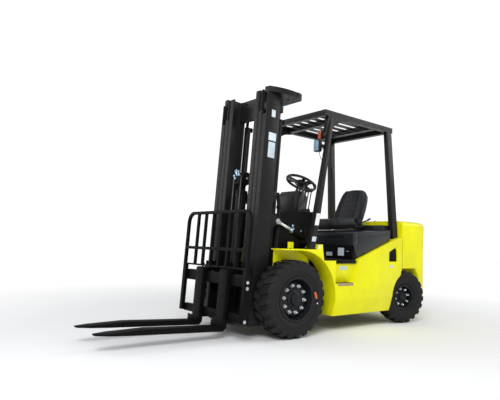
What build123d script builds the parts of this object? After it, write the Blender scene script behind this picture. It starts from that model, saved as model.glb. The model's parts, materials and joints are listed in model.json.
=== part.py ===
from build123d import *
import os
from math import cos, hypot, radians, sin, sqrt, tan

# Counterbalance lift truck, about three tonnes capacity, with a three-stage mast.
# Millimetres. The truck is drawn with the ground below the front axle as its origin,
# forward = -Y, its left = +X and up = +Z, and is moved onto its box centre when written.
# Mast pieces are drawn upright and then leaned back to their parked angle.

# Tyres, rims and axles
WHEELBASE = 1700.0
FRONT_TYRE_R = 353.0
FRONT_TYRE_W = 225.0
FRONT_TRACK = 1010.0
FRONT_RIM_R = 190.0
FRONT_RIM_W = 178.0
FRONT_LUGS = 22
REAR_TYRE_R = 290.0
REAR_TYRE_W = 178.0
REAR_RIM_R = 127.0
REAR_RIM_W = 127.0
REAR_LUGS = 18
LUG_DEPTH = 16.0
SHOULDER = 26.0
LUG_START = 8.0
RIM_WALL = 8.0
FLANGE_RISE = 15.0
FLANGE_T = 8.0
SEAT_GAP = 0.3
FRONT_DISC_X = 38.0
FRONT_HUB_R = 78.0
REAR_DISC_X = 10.0
REAR_HUB_R = 62.0
AXLE_TUBE_R = 68.0
AXLE_TUBE_END = 352.0
SPINDLE_R = 45.0
DIFF_R = 145.0
DRUM_R = 150.0
DRUM_WALL = 10.0
KINGPIN_X = 400.0
KINGPIN_R = 18.0
SCRUB = 90.0
STEER_REST = 13.6
KNUCKLE_R = 34.0
KNUCKLE_HALF = 47.0
STUB_R = 28.0
YOKE_GAP = 49.0
YOKE_HALF = 76.0
YOKE_W = 32.0
BEAM_END = 255.0
BEAM_FRONT = 60.0
BEAM_REAR = 30.0
BEAM_HALF = 60.0
STEER_ARM = 96.0
STEER_ARM_T = 28.0
TIE_PIN_R = 10.0
TIE_Z = 28.0
TIE_R = 10.0
TRUNNION_R = 24.0
TRUNNION_Z = 84.0

# Mast
MAST_LEAN = 3.1
MAST_TOP = 2283.0
MAST_FOOT = 92.0
MAST_HALF = 378.0
RAIL_W = 60.0
RAIL_GAP = 6.0
RAIL_FRONT = -347.0
RAIL_DEPTH = 156.0
RAIL_WEB = 14.0
RAIL_FLANGE = 18.0
NOTCH = 208.0
SADDLE_W = 26.0
SADDLE_R = 100.0
CHAIN_T = 8.0
CHAIN_W = 20.0
BEHIND_RAIL = 4.0
BEAM_STEP = 5.0
MIDDLE_BEAM_T = 16.0
OUTER_BEAM_T = 14.0
BEAM_INSET = 20.0
OUTER_DROP = 38.0
TIE_PLATE_T = 53.0
TIE_RISE = 20.0
TIE_HALF = 446.0
TIE_REAR = 45.0
LIFT_BARREL_R = 32.0
LIFT_ROD_R = 22.0
LIFT_X = 262.0
LIFT_FOOT = 440.0
LIFT_BARREL_DROP = 233.0
FREE_BARREL_R = 52.0
FREE_ROD_R = 36.0
FREE_Y = -290.0
FREE_BARREL_TOP = 1330.0
SHEAVE_Z = 1450.0
SHEAVE_R = 58.0
SHEAVE_X = 60.0
SHEAVE_W = 28.0
BACK_SHEAVE_R = 28.0
BACK_CHAIN_X = 216.0
BACK_SHEAVE_DROP = 98.0
ANCHOR_Z = 1345.0
INNER_ANCHOR_Z = 150.0

# Carriage, backrest and forks
BAR_FRONT = -508.0
BAR_T = 45.0
BAR_HALF = 512.0
UPPER_BAR_TOP = 541.0
UPPER_BAR_H = 100.0
LOWER_BAR_TOP = 206.0
LOWER_BAR_H = 72.0
SIDE_PLATE_X = 128.0
SIDE_PLATE_T = 18.0
ROLLER_R = 59.7
PLATE_LOW = 154.0
FORK_X = 204.0
FORK_W = 122.0
FORK_T = 45.0
FORK_LENGTH = 1079.0
FORK_BOTTOM = 38.0
TIP_RISE = 4.0
FORK_TOP = 579.0
HOOK_T = 12.0
HOOK_CLEAR = 2.0
BACKREST_TOP = 1110.0
BACKREST_HALF = 543.0
BACKREST_BOTTOM = 142.0
BACKREST_BAR = 28.0
BACKREST_LOW = 586.0
BACKREST_SIDE = 48.0
BACKREST_MID = 755.0
BACKREST_CORNER = 105.0
BACKREST_PITCH = 137.0

# Tilt cylinders, in the mast's upright frame for the eye and the truck's for the anchor
TILT_X = 344.0
TILT_EYE = (-104.0, 1055.0)
TILT_ANCHOR = (300.0, 910.0)
TILT_BARREL_R = 36.0
TILT_BARREL_L = 205.0
TILT_ROD_R = 17.5
TILT_EYE_R = 28.0
TILT_EYE_HALF = 14.0
TILT_PIN_R = 14.0
TILT_PLAY = 4.5
CLEVIS_T = 10.0

# Body
BODY_HALF = 578.0
BODY_WALL = 138.0
BODY_BOTTOM = 160.0
BODY_FRONT = 513.0
ARCH_R = 463.0
ARCH_Y = 60.0
ARCH_Z = 330.0
FENDER_FRONT = -150.0
FENDER_TOP = 805.0
FENDER_INNER = 390.0
LINER_X = 380.0
LINER_T = 7.0
LINER_Z = 640.0
STEP_DEPTH = 76.0
STEP_Z = 476.0
STEP_FRONT = 516.0
STEP_REAR = 834.0
TREAD_T = 24.0
SILL_T = 30.0
FLOOR_Z = 700.0
FLOOR_T = 10.0
COWL_Y = 340.0
COWL_TOP = 1170.0
HOOD_FRONT = 790.0
HOOD_REAR = 1400.0
HOOD_WALL = 8.0
HOOD_INSET = 30.0
HOOD_TOP_FRONT = 985.0
HOOD_TOP_REAR = 1032.0
HOOD_GAP = 6.0
SKIRT_Y = 852.0
SKIRT_Z = 723.0
KICK_TOP = 855.0
LEVER_Z = 1180.0
WEIGHT_FRONT = 1600.0
WEIGHT_REAR = 2207.0
WEIGHT_TOP = 1150.0
WEIGHT_INSET = 12.0
WEIGHT_BOTTOM = 300.0
WEIGHT_CORNER = 260.0
TOW_Z = 470.0
TOW_PIN_R = 16.0
WELL_R = 333.0
WELL_TOP = 606.0
ENGINE_FRONT = 860.0
FRAME_REAR = 1780.0
FRAME_TOP = 660.0
FRAME_X = 176.0
FRAME_T = 30.0

# Seat and steering wheel
SEAT_HALF = 232.0
SEAT_FRONT_Z = 1018.0
SEAT_REAR_Z = 1052.0
SEAT_BACK_Y = 1235.0
SEAT_BACK_L = 410.0
SEAT_BACK_T = 84.0
SEAT_BACK_LEAN = 23.0
WHEEL_R = 160.0
WHEEL_GRIP_R = 15.0
WHEEL_HUB_R = 50.0
WHEEL_HUB_HALF = 12.0

# Overhead guard
GUARD_HALF = 475.0
GUARD_TOP = 2210.0
GUARD_FRONT = 412.0
GUARD_REAR = 1500.0
GUARD_W = 50.0
GUARD_H = 58.0
SLAT_PITCH = 131.0
SLAT_W = 66.0
SLAT_T = 10.0
SLAT_REAR = 1190.0
LEG_BEND_DROP = 382.0
LAMP_DROP = 374.0
TURN_LAMP_DROP = 260.0
HINGE_R = 8.0
HINGE_RISE = 14.0
HINGE_X = 250.0

# Worked out from the sizes above
FRONT_X = FRONT_TRACK / 2
RAIL_REAR = RAIL_FRONT + RAIL_DEPTH
RAIL_STEP = RAIL_W + RAIL_GAP
FORK_FACE = BAR_FRONT - SEAT_GAP - FORK_T
TIP_Y = FORK_FACE - FORK_LENGTH
LEAN = radians(MAST_LEAN)
TIP_WORLD_Y = TIP_Y * cos(LEAN) + (FORK_BOTTOM + TIP_RISE - FRONT_TYRE_R) * sin(LEAN)
CENTRE_Y = (WEIGHT_REAR + TIP_WORLD_Y) / 2
MAST_PIVOT = Axis((0, 0, FRONT_TYRE_R), (1, 0, 0))
CHAIN_Y = RAIL_REAR + BEHIND_RAIL + CHAIN_T / 2
MIDDLE_BEAM_Y = CHAIN_Y + CHAIN_T / 2 + BEAM_STEP
OUTER_BEAM_Y = MIDDLE_BEAM_Y + MIDDLE_BEAM_T + BEAM_STEP + 3
REAR_STRAND_Y = CHAIN_Y + 2 * BACK_SHEAVE_R
LIFT_Y = OUTER_BEAM_Y + OUTER_BEAM_T + LIFT_BARREL_R + 6
OUTER_TOP = MAST_TOP - OUTER_DROP
TIE_TOP = MAST_TOP + TIE_RISE
LIFT_BARREL_TOP = MAST_TOP - LIFT_BARREL_DROP
BACK_SHEAVE_Z = MAST_TOP - BACK_SHEAVE_DROP
BODY_INNER = BODY_HALF - BODY_WALL
HOOD_HALF = BODY_HALF - HOOD_INSET
WEIGHT_HALF = BODY_HALF - WEIGHT_INSET
LAMP_Z = GUARD_TOP - LAMP_DROP
TURN_LAMP_Z = GUARD_TOP - TURN_LAMP_DROP
HINGE_Y = HOOD_REAR - HINGE_R
HINGE_Z = HOOD_TOP_REAR + HINGE_RISE

MIN = Align.MIN
MID = Align.CENTER


def block(x0, x1, y0, y1, z0, z1):
    """Box between two opposite corners."""
    centre = Pos((x0 + x1) / 2, (y0 + y1) / 2, (z0 + z1) / 2)
    return centre * Box(x1 - x0, y1 - y0, z1 - z0)


def side_plate(points, x0, x1):
    """Plate with a straight-sided outline in Y and Z, from x0 to x1."""
    outline = Polyline(*[(x0, y, z) for y, z in points], close=True)
    return extrude(make_face(outline), amount=x1 - x0, dir=(1, 0, 0))


def plan_plate(points, z0, z1):
    """Plate with a straight-sided outline in X and Y, from z0 to z1."""
    outline = Polyline(*[(x, y, z0) for x, y in points], close=True)
    return extrude(make_face(outline), amount=z1 - z0, dir=(0, 0, 1))


def rod(start, end, radius):
    """Round bar between two points."""
    run = Vector(*end) - Vector(*start)
    return Plane(origin=start, z_dir=run) * Cylinder(radius, run.length, align=(MID, MID, MIN))


def turned(points):
    """Solid of revolution about X from (x, radius) points."""
    outline = Polyline(*[(x, 0, r) for x, r in points], close=True)
    return revolve(make_face(outline), Axis.X)


def loft_sections(sections):
    """Straight loft through level rectangles (x0, x1, y0, y1, z)."""
    faces = []
    for x0, x1, y0, y1, z in sections:
        centre = Pos((x0 + x1) / 2, (y0 + y1) / 2, z)
        faces.append(centre * Rectangle(x1 - x0, y1 - y0))
    return loft(faces, ruled=True)


def lean(shape):
    """Lean an upright mast piece back to the parked angle."""
    return shape.rotate(MAST_PIVOT, -MAST_LEAN)


def mirrored(shape):
    """The same piece on the truck's other side."""
    return mirror(shape, about=Plane.YZ)


def write(name, *shapes):
    """Move solids into the part's frame and write them as one piece."""
    os.makedirs("parts", exist_ok=True)
    solids = []
    for shape in shapes:
        solids.extend((Pos(0, -CENTRE_Y, 0) * shape).solids())
    export_step(solids[0] if len(solids) == 1 else Compound(solids), f"parts/{name}.step")


def write_both(name, shape):
    """Write a left piece and its mirror image on the right as two pieces."""
    write(f"{name}_left", shape)
    write(f"{name}_right", mirrored(shape))


def write_pair(name, shape):
    """Write a piece and its mirror image on the other side as one pair."""
    write(name, shape, mirrored(shape))


# Wheels, drawn about X at the origin with the outer side towards +X

def tyre(radius, width, rim_r, rim_w, lugs):
    """Pneumatic tyre of flat sectors, each with a shoulder lug on one side, left and right in turn."""
    half = width / 2
    base = radius - LUG_DEPTH
    bead = rim_w / 2 - 1
    bore = rim_r + SEAT_GAP
    flange = rim_r + FLANGE_RISE + 3
    widest = rim_r + 0.48 * (radius - rim_r)
    section = Polyline(
        (-bead, 0, bore), (-bead, 0, flange), (-half, 0, widest), (-half + 5, 0, base - SHOULDER),
        (-half + SHOULDER, 0, base), (LUG_START, 0, base), (LUG_START, 0, radius),
        (half - SHOULDER / 2, 0, radius - 4), (half, 0, base - SHOULDER), (half, 0, widest),
        (bead, 0, flange), (bead, 0, bore),
        close=True,
    )
    slab = extrude(make_face(section), amount=radius, dir=(0, 1, 0), both=True)
    step = 180.0 / lugs
    reach = 1.1 * radius
    side = reach * tan(radians(step / 2))
    right = slab & side_plate([(0, 0), (-side, reach), (side, reach)], -width, width)
    left = mirrored(right).rotate(Axis.X, step)
    sectors = []
    for index in range(lugs):
        sectors.append(right.rotate(Axis.X, 2 * index * step))
        sectors.append(left.rotate(Axis.X, 2 * index * step))
    return sectors[0].fuse(*sectors[1:])


def rim(rim_r, rim_w, disc_x, hub_r):
    """Rim with a dished disc, without its hub."""
    half = rim_w / 2
    edge = rim_r + FLANGE_RISE
    wall = rim_r - RIM_WALL
    barrel = turned([
        (-half - FLANGE_T, wall), (-half - FLANGE_T, edge), (-half, edge), (-half, rim_r),
        (half, rim_r), (half, edge), (half + FLANGE_T, edge), (half + FLANGE_T, wall),
    ])
    disc = turned([
        (disc_x - 34, wall + 2), (disc_x - 24, wall + 2), (disc_x + 8, wall - 38),
        (disc_x + 8, hub_r - 4), (disc_x - 2, hub_r - 4), (disc_x - 2, wall - 36),
    ])
    return barrel + disc


def front_wheel_solids():
    """Tyre, and rim with its hub and brake drum, of the left front wheel."""
    place = Pos(FRONT_X, 0, FRONT_TYRE_R)
    rubber = tyre(FRONT_TYRE_R, FRONT_TYRE_W, FRONT_RIM_R, FRONT_RIM_W, FRONT_LUGS)
    drum_start = AXLE_TUBE_END + 12 - FRONT_X
    drum_end = -66.0
    bore = SPINDLE_R + SEAT_GAP
    hub = turned([
        (drum_start, DRUM_R - DRUM_WALL), (drum_start, DRUM_R), (drum_end, DRUM_R),
        (drum_end, FRONT_HUB_R), (FRONT_DISC_X + 18, FRONT_HUB_R),
        (FRONT_DISC_X + 26, FRONT_HUB_R - 18), (FRONT_DISC_X + 50, FRONT_HUB_R - 22),
        (FRONT_DISC_X + 56, FRONT_HUB_R - 34), (FRONT_DISC_X + 56, 0), (-8, 0), (-8, bore),
        (drum_end - DRUM_WALL, bore), (drum_end - DRUM_WALL, DRUM_R - DRUM_WALL),
    ])
    wheel = rim(FRONT_RIM_R, FRONT_RIM_W, FRONT_DISC_X, FRONT_HUB_R) + hub
    return place * rubber, place * wheel


def rear_wheel_solids():
    """Tyre and rim of a rear wheel, with the kingpin at the origin."""
    place = Pos(SCRUB, 0, 0)
    rubber = tyre(REAR_TYRE_R, REAR_TYRE_W, REAR_RIM_R, REAR_RIM_W, REAR_LUGS)
    bore = STUB_R + SEAT_GAP
    hub = turned([
        (-44, bore), (-44, REAR_HUB_R), (REAR_DISC_X + 14, REAR_HUB_R),
        (REAR_DISC_X + 22, REAR_HUB_R - 16), (REAR_DISC_X + 42, REAR_HUB_R - 20),
        (REAR_DISC_X + 46, REAR_HUB_R - 28), (REAR_DISC_X + 46, 0), (-2, 0), (-2, bore),
    ])
    wheel = rim(REAR_RIM_R, REAR_RIM_W, REAR_DISC_X, REAR_HUB_R) + hub
    return place * rubber, place * wheel


def knuckle_solid():
    """Steering knuckle with its stub axle and steering arm, kingpin at the origin."""
    barrel = Cylinder(KNUCKLE_R, 2 * KNUCKLE_HALF)
    stub = rod((KNUCKLE_R - 12, 0, 0), (SCRUB - 4, 0, 0), STUB_R)
    half = STEER_ARM_T / 2
    arm = block(-14, 14, KNUCKLE_R - 10, STEER_ARM, -half, half)
    arm = arm + Pos(0, STEER_ARM, 0) * Cylinder(16, STEER_ARM_T)
    pin = rod((0, STEER_ARM, 0), (0, STEER_ARM, TIE_Z + TIE_R + 2), TIE_PIN_R)
    return barrel + stub + arm + pin - Cylinder(KINGPIN_R + SEAT_GAP, 3 * KNUCKLE_HALF)


def steer(shape, side):
    """Turn a straight rear piece to its parked steering angle and carry it to its kingpin."""
    piece = shape if side > 0 else mirrored(shape)
    piece = piece.rotate(Axis.Z, -STEER_REST)
    return Pos(side * KINGPIN_X, WHEELBASE, REAR_TYRE_R) * piece


def tie_rod_solid():
    """Track rod between the two steering arms, at its parked place."""
    angle = radians(STEER_REST)
    y = WHEELBASE + STEER_ARM * cos(angle)
    shift = STEER_ARM * sin(angle)
    z = REAR_TYRE_R + TIE_Z
    left = (KINGPIN_X + shift, y, z)
    right = (-KINGPIN_X + shift, y, z)
    bar = rod(left, right, TIE_R)
    for end in (left, right):
        bar = bar + Pos(*end) * Cylinder(17, 2 * TIE_R - 2)
    for end in (left, right):
        bar = bar - Pos(*end) * Cylinder(TIE_PIN_R + SEAT_GAP, 4 * TIE_R)
    return bar


# Axles and frame

def drive_axle_solid():
    """Drive axle housing with its spindles and brake backing plates."""
    end = FRONT_X - 10
    half = turned([
        (0, 0), (0, DIFF_R), (40, DIFF_R), (95, DIFF_R - 26), (FRAME_X - 14, AXLE_TUBE_R),
        (AXLE_TUBE_END, AXLE_TUBE_R), (AXLE_TUBE_END, DRUM_R - 14),
        (AXLE_TUBE_END + 8, DRUM_R - 14), (AXLE_TUBE_END + 8, SPINDLE_R), (end, SPINDLE_R), (end, 0),
    ])
    return Pos(0, 0, FRONT_TYRE_R) * (half + mirrored(half))


def steer_axle_solid():
    """Steer axle beam with its yokes, kingpins and centre trunnion."""
    beam = block(-BEAM_END, BEAM_END, -BEAM_FRONT, BEAM_REAR, -BEAM_HALF, BEAM_HALF)
    beam = beam + block(-BEAM_END - 45, BEAM_END + 45, -YOKE_W, YOKE_W - 4, -YOKE_HALF, YOKE_HALF)
    trunnion = block(-38, 38, -BEAM_FRONT + 4, BEAM_REAR, 0, TRUNNION_Z + TRUNNION_R + 10)
    beam = beam + trunnion
    beam = beam + rod((0, -BEAM_FRONT - 26, TRUNNION_Z), (0, BEAM_REAR + 34, TRUNNION_Z), TRUNNION_R)
    for side in (-1, 1):
        for low, high in ((-YOKE_HALF, -YOKE_GAP), (YOKE_GAP, YOKE_HALF)):
            inner = side * (BEAM_END + 40)
            outer = side * KINGPIN_X
            arm = block(min(inner, outer), max(inner, outer), -YOKE_W, YOKE_W - 4, low, high)
            boss = Pos(outer, 0, (low + high) / 2) * Cylinder(YOKE_W + 3, high - low)
            beam = beam + arm + boss
        beam = beam + Pos(side * KINGPIN_X, 0, 0) * Cylinder(KINGPIN_R, 2 * YOKE_HALF + 8)
    return Pos(0, WHEELBASE, REAR_TYRE_R) * beam


def frame_solid():
    """Chassis plates, cross members and the steer axle's hanger."""
    plate = side_plate([
        (-96, 290), (-96, 410), (-30, 480), (250, 560), (1330, 640), (1330, 180), (240, 180),
        (60, 250),
    ], FRAME_X, FRAME_X + FRAME_T)
    plate = plate - rod((0, 0, FRONT_TYRE_R), (400, 0, FRONT_TYRE_R), AXLE_TUBE_R + SEAT_GAP)
    frame = plate + mirrored(plate)
    reach = BODY_INNER - SEAT_GAP
    frame = frame + block(-reach, reach, 560, 610, 180, 228)
    frame = frame + block(-reach, reach, 1280, 1330, 200, 280)
    for x0 in (-FRAME_X - FRAME_T, FRAME_X):
        frame = frame + block(x0, x0 + FRAME_T, 1280, FRAME_REAR, WELL_TOP + 6, FRAME_TOP)
    frame = frame + block(-FRAME_X - 1, FRAME_X + 1, 1376, FRAME_REAR, WELL_TOP + 6, FRAME_TOP)
    hanger_x = 46.0
    for y0 in (WHEELBASE - BEAM_FRONT - 28, WHEELBASE + BEAM_REAR + 6):
        plate = block(-hanger_x, hanger_x, y0, y0 + 24, REAR_TYRE_R + 46, WELL_TOP + 10)
        y_end = y0 + 30
        bore = rod((0, y0 - 6, REAR_TYRE_R + TRUNNION_Z), (0, y_end, REAR_TYRE_R + TRUNNION_Z),
                   TRUNNION_R + SEAT_GAP)
        frame = frame + (plate - bore)
    return frame


# Body

def side_body_solid():
    """Left tank, step and fender: one pressed and welded body side."""
    outline = [
        (FENDER_FRONT, ARCH_Z + ARCH_R), (FENDER_FRONT, FENDER_TOP), (262, FENDER_TOP),
        (300, 850), (325, 854), (350, FLOOR_Z + 12), (352, FLOOR_Z - SEAT_GAP),
        (838, FLOOR_Z - SEAT_GAP), (850, 716),
        (1434, 923), (1559, 958), (1590, 958), (1590, 620), (1560, 532), (1470, 410),
        (1426, 268), (1396, BODY_BOTTOM), (BODY_FRONT - 6, BODY_BOTTOM), (BODY_FRONT, ARCH_Z),
    ]
    body = side_plate(outline, FENDER_INNER, BODY_HALF)
    wheel_space = Pos(0, ARCH_Y, ARCH_Z) * Rotation(0, 90, 0) * Cylinder(ARCH_R, 2000)
    front_space = block(-2000, 2000, -2000, ARCH_Y, -100, ARCH_Z + ARCH_R)
    under_arch = block(-2000, 2000, -500, BODY_FRONT, -100, ARCH_Z)
    inside = block(0, BODY_INNER, BODY_FRONT + 40, 2000, 0, 2000)
    body = body - wheel_space - front_space - under_arch - inside - wheel_well(1)
    body = body - step_pocket() - sill_space() - lower_lean() - side_vent()
    liner = block(LINER_X, LINER_X + LINER_T, FENDER_FRONT + 30, 322, LINER_Z, FENDER_TOP)
    ledge = block(LINER_X, FENDER_INNER + 5, FENDER_FRONT + 15, 322, ARCH_Z + ARCH_R, FENDER_TOP)
    return body + liner + ledge


def step_pocket():
    """Foot space in the body side, flush at the sill and deepest at the tread."""
    outer = BODY_HALF + 5
    wedge = Polyline(
        (outer, 0, FLOOR_Z), (BODY_HALF, 0, FLOOR_Z), (BODY_HALF - STEP_DEPTH, 0, STEP_Z), (outer, 0, STEP_Z),
        close=True,
    )
    space = extrude(make_face(wedge), amount=3000, dir=(0, 1, 0))
    front = side_plate([
        (STEP_FRONT, STEP_Z), (STEP_FRONT, FLOOR_Z), (STEP_REAR, FLOOR_Z), (STEP_REAR - 34, STEP_Z),
    ], 0, 1000)
    tread = block(BODY_HALF - STEP_DEPTH, outer, STEP_FRONT + 19 - SEAT_GAP, STEP_REAR - 53 + SEAT_GAP,
                  STEP_Z - TREAD_T - SEAT_GAP, STEP_Z + 1)
    return (space & front) + tread


def sill_space():
    """Notch for the black sill under the floor plate's edge."""
    return block(BODY_HALF - 45, BODY_HALF + 5, STEP_FRONT + 4, STEP_REAR + 10, FLOOR_Z - SILL_T, FLOOR_Z)


def lower_lean():
    """Wedge taken off the lower body side, which leans inwards below its crease."""
    wedge = Polyline(
        (BODY_HALF + 1, 0, ARCH_Z - 10), (BODY_HALF + 1, 0, 0), (BODY_HALF - 60, 0, 0), close=True)
    return extrude(make_face(wedge), amount=3000, dir=(0, 1, 0))


def side_vent():
    """Recess of the rear side vent, with rounded corners."""
    vent = side_plate([(1350, 690), (1350, 795), (1471, 851), (1495, 811), (1502, 690)],
                      BODY_HALF - 60, BODY_HALF + 5)
    return fillet(vent.edges().filter_by(Axis.X), 14)


def wheel_well(side):
    """Space that a steered rear wheel sweeps, with its running clearance."""
    centre = Pos(side * KINGPIN_X, WHEELBASE, REAR_TYRE_R)
    ball = centre * Sphere(WELL_R)
    drum = Pos(side * KINGPIN_X, WHEELBASE, REAR_TYRE_R / 2) * Cylinder(WELL_R, REAR_TYRE_R)
    cut = block(-2000, 2000, 0, 4000, -100, WELL_TOP)
    return (ball + drum) & cut


def counterweight_solid():
    """Cast counterweight, rounded in plan and profile, with wheel arches and the tow pin slot."""
    r = WEIGHT_CORNER
    edge = WEIGHT_HALF - 0.27 * r
    right = Line((0, WEIGHT_FRONT), (WEIGHT_HALF, WEIGHT_FRONT))
    right = right + Line((WEIGHT_HALF, WEIGHT_FRONT), (WEIGHT_HALF, WEIGHT_REAR - 1.15 * r))
    right = right + ThreePointArc((WEIGHT_HALF, WEIGHT_REAR - 1.15 * r), (edge, WEIGHT_REAR - 0.35 * r),
                                  (WEIGHT_HALF - r, WEIGHT_REAR))
    right = right + Line((WEIGHT_HALF - r, WEIGHT_REAR), (0, WEIGHT_REAR))
    plan = make_face(right.edges() + mirror(right, about=Plane.YZ).edges())
    cast = Pos(0, 0, WEIGHT_BOTTOM) * extrude(plan, amount=WEIGHT_TOP - WEIGHT_BOTTOM, dir=(0, 0, 1))
    side = Polyline((WEIGHT_REAR, WEIGHT_TOP - 190), (WEIGHT_REAR, 620), (WEIGHT_REAR - 40, WEIGHT_BOTTOM),
                    (WHEELBASE + 220, WEIGHT_BOTTOM), (WHEELBASE + 160, WELL_TOP + 6),
                    (WEIGHT_FRONT - 10, WELL_TOP + 6), (WEIGHT_FRONT - 10, WEIGHT_TOP),
                    (WEIGHT_REAR - 170, WEIGHT_TOP))
    side = side + ThreePointArc((WEIGHT_REAR - 170, WEIGHT_TOP), (WEIGHT_REAR - 46, WEIGHT_TOP - 52),
                                (WEIGHT_REAR, WEIGHT_TOP - 190))
    cast = cast & extrude(Plane.YZ * make_face(side.edges()), amount=1000, both=True)
    arch = Polyline((WHEELBASE + 100, WELL_TOP + 6), (0, WELL_TOP + 6), (0, 0), (WHEELBASE + 212, 0),
                    (WHEELBASE + 212, WELL_TOP - 106))
    arch = arch + ThreePointArc((WHEELBASE + 212, WELL_TOP - 106), (WHEELBASE + 179, WELL_TOP - 27),
                                (WHEELBASE + 100, WELL_TOP + 6))
    cast = cast - extrude(Plane.YZ * make_face(arch.edges()), amount=2000, both=True)
    cast = cast - wheel_well(1) - wheel_well(-1)
    slot = block(-60, 60, WEIGHT_REAR - 130, WEIGHT_REAR + 10, TOW_Z, TOW_Z + 80)
    notch = block(-60, 60, WEIGHT_REAR - 130, WEIGHT_REAR + 10, TOW_Z + 120, TOW_Z + 290)
    pin_hole = rod((0, WEIGHT_REAR - 75, 0), (0, WEIGHT_REAR - 75, TOW_Z + 130), TOW_PIN_R)
    reach = FRAME_X + FRAME_T + SEAT_GAP
    frame_seat = block(-reach, reach, 1200, FRAME_REAR + SEAT_GAP, 500, FRAME_TOP + SEAT_GAP)
    return cast - slot - notch - pin_hole - frame_seat


def floor_solid():
    """Floor plate with the black sills over the steps."""
    side = BODY_HALF - 14
    centre = FENDER_INNER - 1
    floor = block(-side, side, 354, HOOD_FRONT + 20, FLOOR_Z, FLOOR_Z + FLOOR_T)
    sill = block(BODY_HALF - 44, BODY_HALF + 2, STEP_FRONT + 5, STEP_REAR - 24, FLOOR_Z - SILL_T + SEAT_GAP,
                 FLOOR_Z + 1)
    floor = floor + sill + mirrored(sill)
    return floor + block(-centre, centre, COWL_Y + SEAT_GAP, 360, FLOOR_Z, FLOOR_Z + FLOOR_T)


def step_solid():
    """Tread strip in the left step pocket."""
    return block(BODY_HALF - STEP_DEPTH + SEAT_GAP, BODY_HALF + 4, STEP_FRONT + 19, STEP_REAR - 53,
                 STEP_Z - TREAD_T, STEP_Z)


def cowl_solid():
    """Front cowl plate below the dash, with its side returns."""
    low = FENDER_INNER - 1
    plate = block(-low, low, COWL_Y - 12, COWL_Y, FLOOR_Z, COWL_TOP)
    plate = plate + block(-440, 440, COWL_Y - 12, COWL_Y, 856, COWL_TOP)
    wing = side_plate([(-17, FENDER_TOP + SEAT_GAP), (-17, 1100), (60, 1146), (288, COWL_TOP),
                       (COWL_Y, COWL_TOP), (COWL_Y, 856), (258, 856), (258, FENDER_TOP + SEAT_GAP)],
                      400, 412)
    plate = plate + wing + mirrored(wing)
    return plate


def console_solid():
    """Dash and steering console."""
    back = COWL_Y + SEAT_GAP
    front = COWL_Y - 30
    dash = side_plate([(back, 1060), (back, COWL_TOP + SEAT_GAP), (front, COWL_TOP + SEAT_GAP),
                       (front, 1340), (360, 1400), (450, 1392), (500, 1330), (480, 1180), (430, 1060)],
                      -110, 160)
    return dash + block(150, 300, back, 440, LEVER_Z - 60, LEVER_Z)


def sweep_y(z):
    """Front limit of the hood's skirts at a height as the hood opens, with their clearance."""
    reach = hypot(HINGE_Y - SKIRT_Y, HINGE_Z - SKIRT_Z) + HOOD_GAP
    return HINGE_Y - sqrt(reach ** 2 - (HINGE_Z - z) ** 2)


def kick_panel_solid():
    """Black panel below the front of the hood, with cheeks shaped to the hood's swing."""
    low = FLOOR_Z + FLOOR_T + SEAT_GAP
    inside = HOOD_HALF - HOOD_WALL - HOOD_GAP
    front = block(-inside, inside, HOOD_FRONT, HOOD_FRONT + 10, low, KICK_TOP - SEAT_GAP)
    top = KICK_TOP - 24
    middle = (low + top) / 2
    edge = Polyline((sweep_y(top), top), (HOOD_FRONT, top), (HOOD_FRONT, low), (HOOD_FRONT + 47, low),
                    (sweep_y(low + 14), low + 14))
    edge = edge + ThreePointArc((sweep_y(low + 14), low + 14), (sweep_y(middle), middle), (sweep_y(top), top))
    outline = Plane.YZ * make_face(edge.edges())
    cheek = Pos(inside - 4, 0, 0) * extrude(outline, amount=HOOD_HALF - inside + 4, dir=(1, 0, 0))
    return front + cheek + mirrored(cheek)


def hood_solid():
    """Engine hood, open below, with its slanted side skirts and hinge knuckles."""
    outline = [
        (HOOD_FRONT, KICK_TOP), (HOOD_FRONT, HOOD_TOP_FRONT - 10), (HOOD_FRONT + 16, HOOD_TOP_FRONT),
        (HOOD_REAR, HOOD_TOP_REAR), (HOOD_REAR, 923 + HOOD_GAP - 8), (858, 726),
        (SKIRT_Y, SKIRT_Z), (HOOD_FRONT + HOOD_WALL, KICK_TOP),
    ]
    shell = side_plate(outline, -HOOD_HALF, HOOD_HALF)
    inner = [
        (HOOD_FRONT + HOOD_WALL, 600), (HOOD_FRONT + HOOD_WALL, HOOD_TOP_FRONT - 14),
        (HOOD_FRONT + 22, HOOD_TOP_FRONT - HOOD_WALL),
        (HOOD_REAR - HOOD_WALL, HOOD_TOP_REAR - HOOD_WALL), (HOOD_REAR - HOOD_WALL, 600),
    ]
    shell = shell - side_plate(inner, -HOOD_HALF + HOOD_WALL, HOOD_HALF - HOOD_WALL)
    for side in (-1, 1):
        x = side * HINGE_X
        knuckle = rod((x - 20, HINGE_Y, HINGE_Z), (x + 20, HINGE_Y, HINGE_Z), HINGE_R)
        knuckle = knuckle + block(x - 20, x + 20, HINGE_Y - HINGE_R, HINGE_Y, HOOD_TOP_REAR - 4, HINGE_Z)
        shell = shell + (knuckle - hinge_pin(x, HINGE_R / 2 + SEAT_GAP))
    return shell


def hinge_pin(x, radius):
    """Hinge pin of the hood at one side, on the hinge's axis."""
    return rod((x - 32, HINGE_Y, HINGE_Z), (x + 32, HINGE_Y, HINGE_Z), radius)


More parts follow.
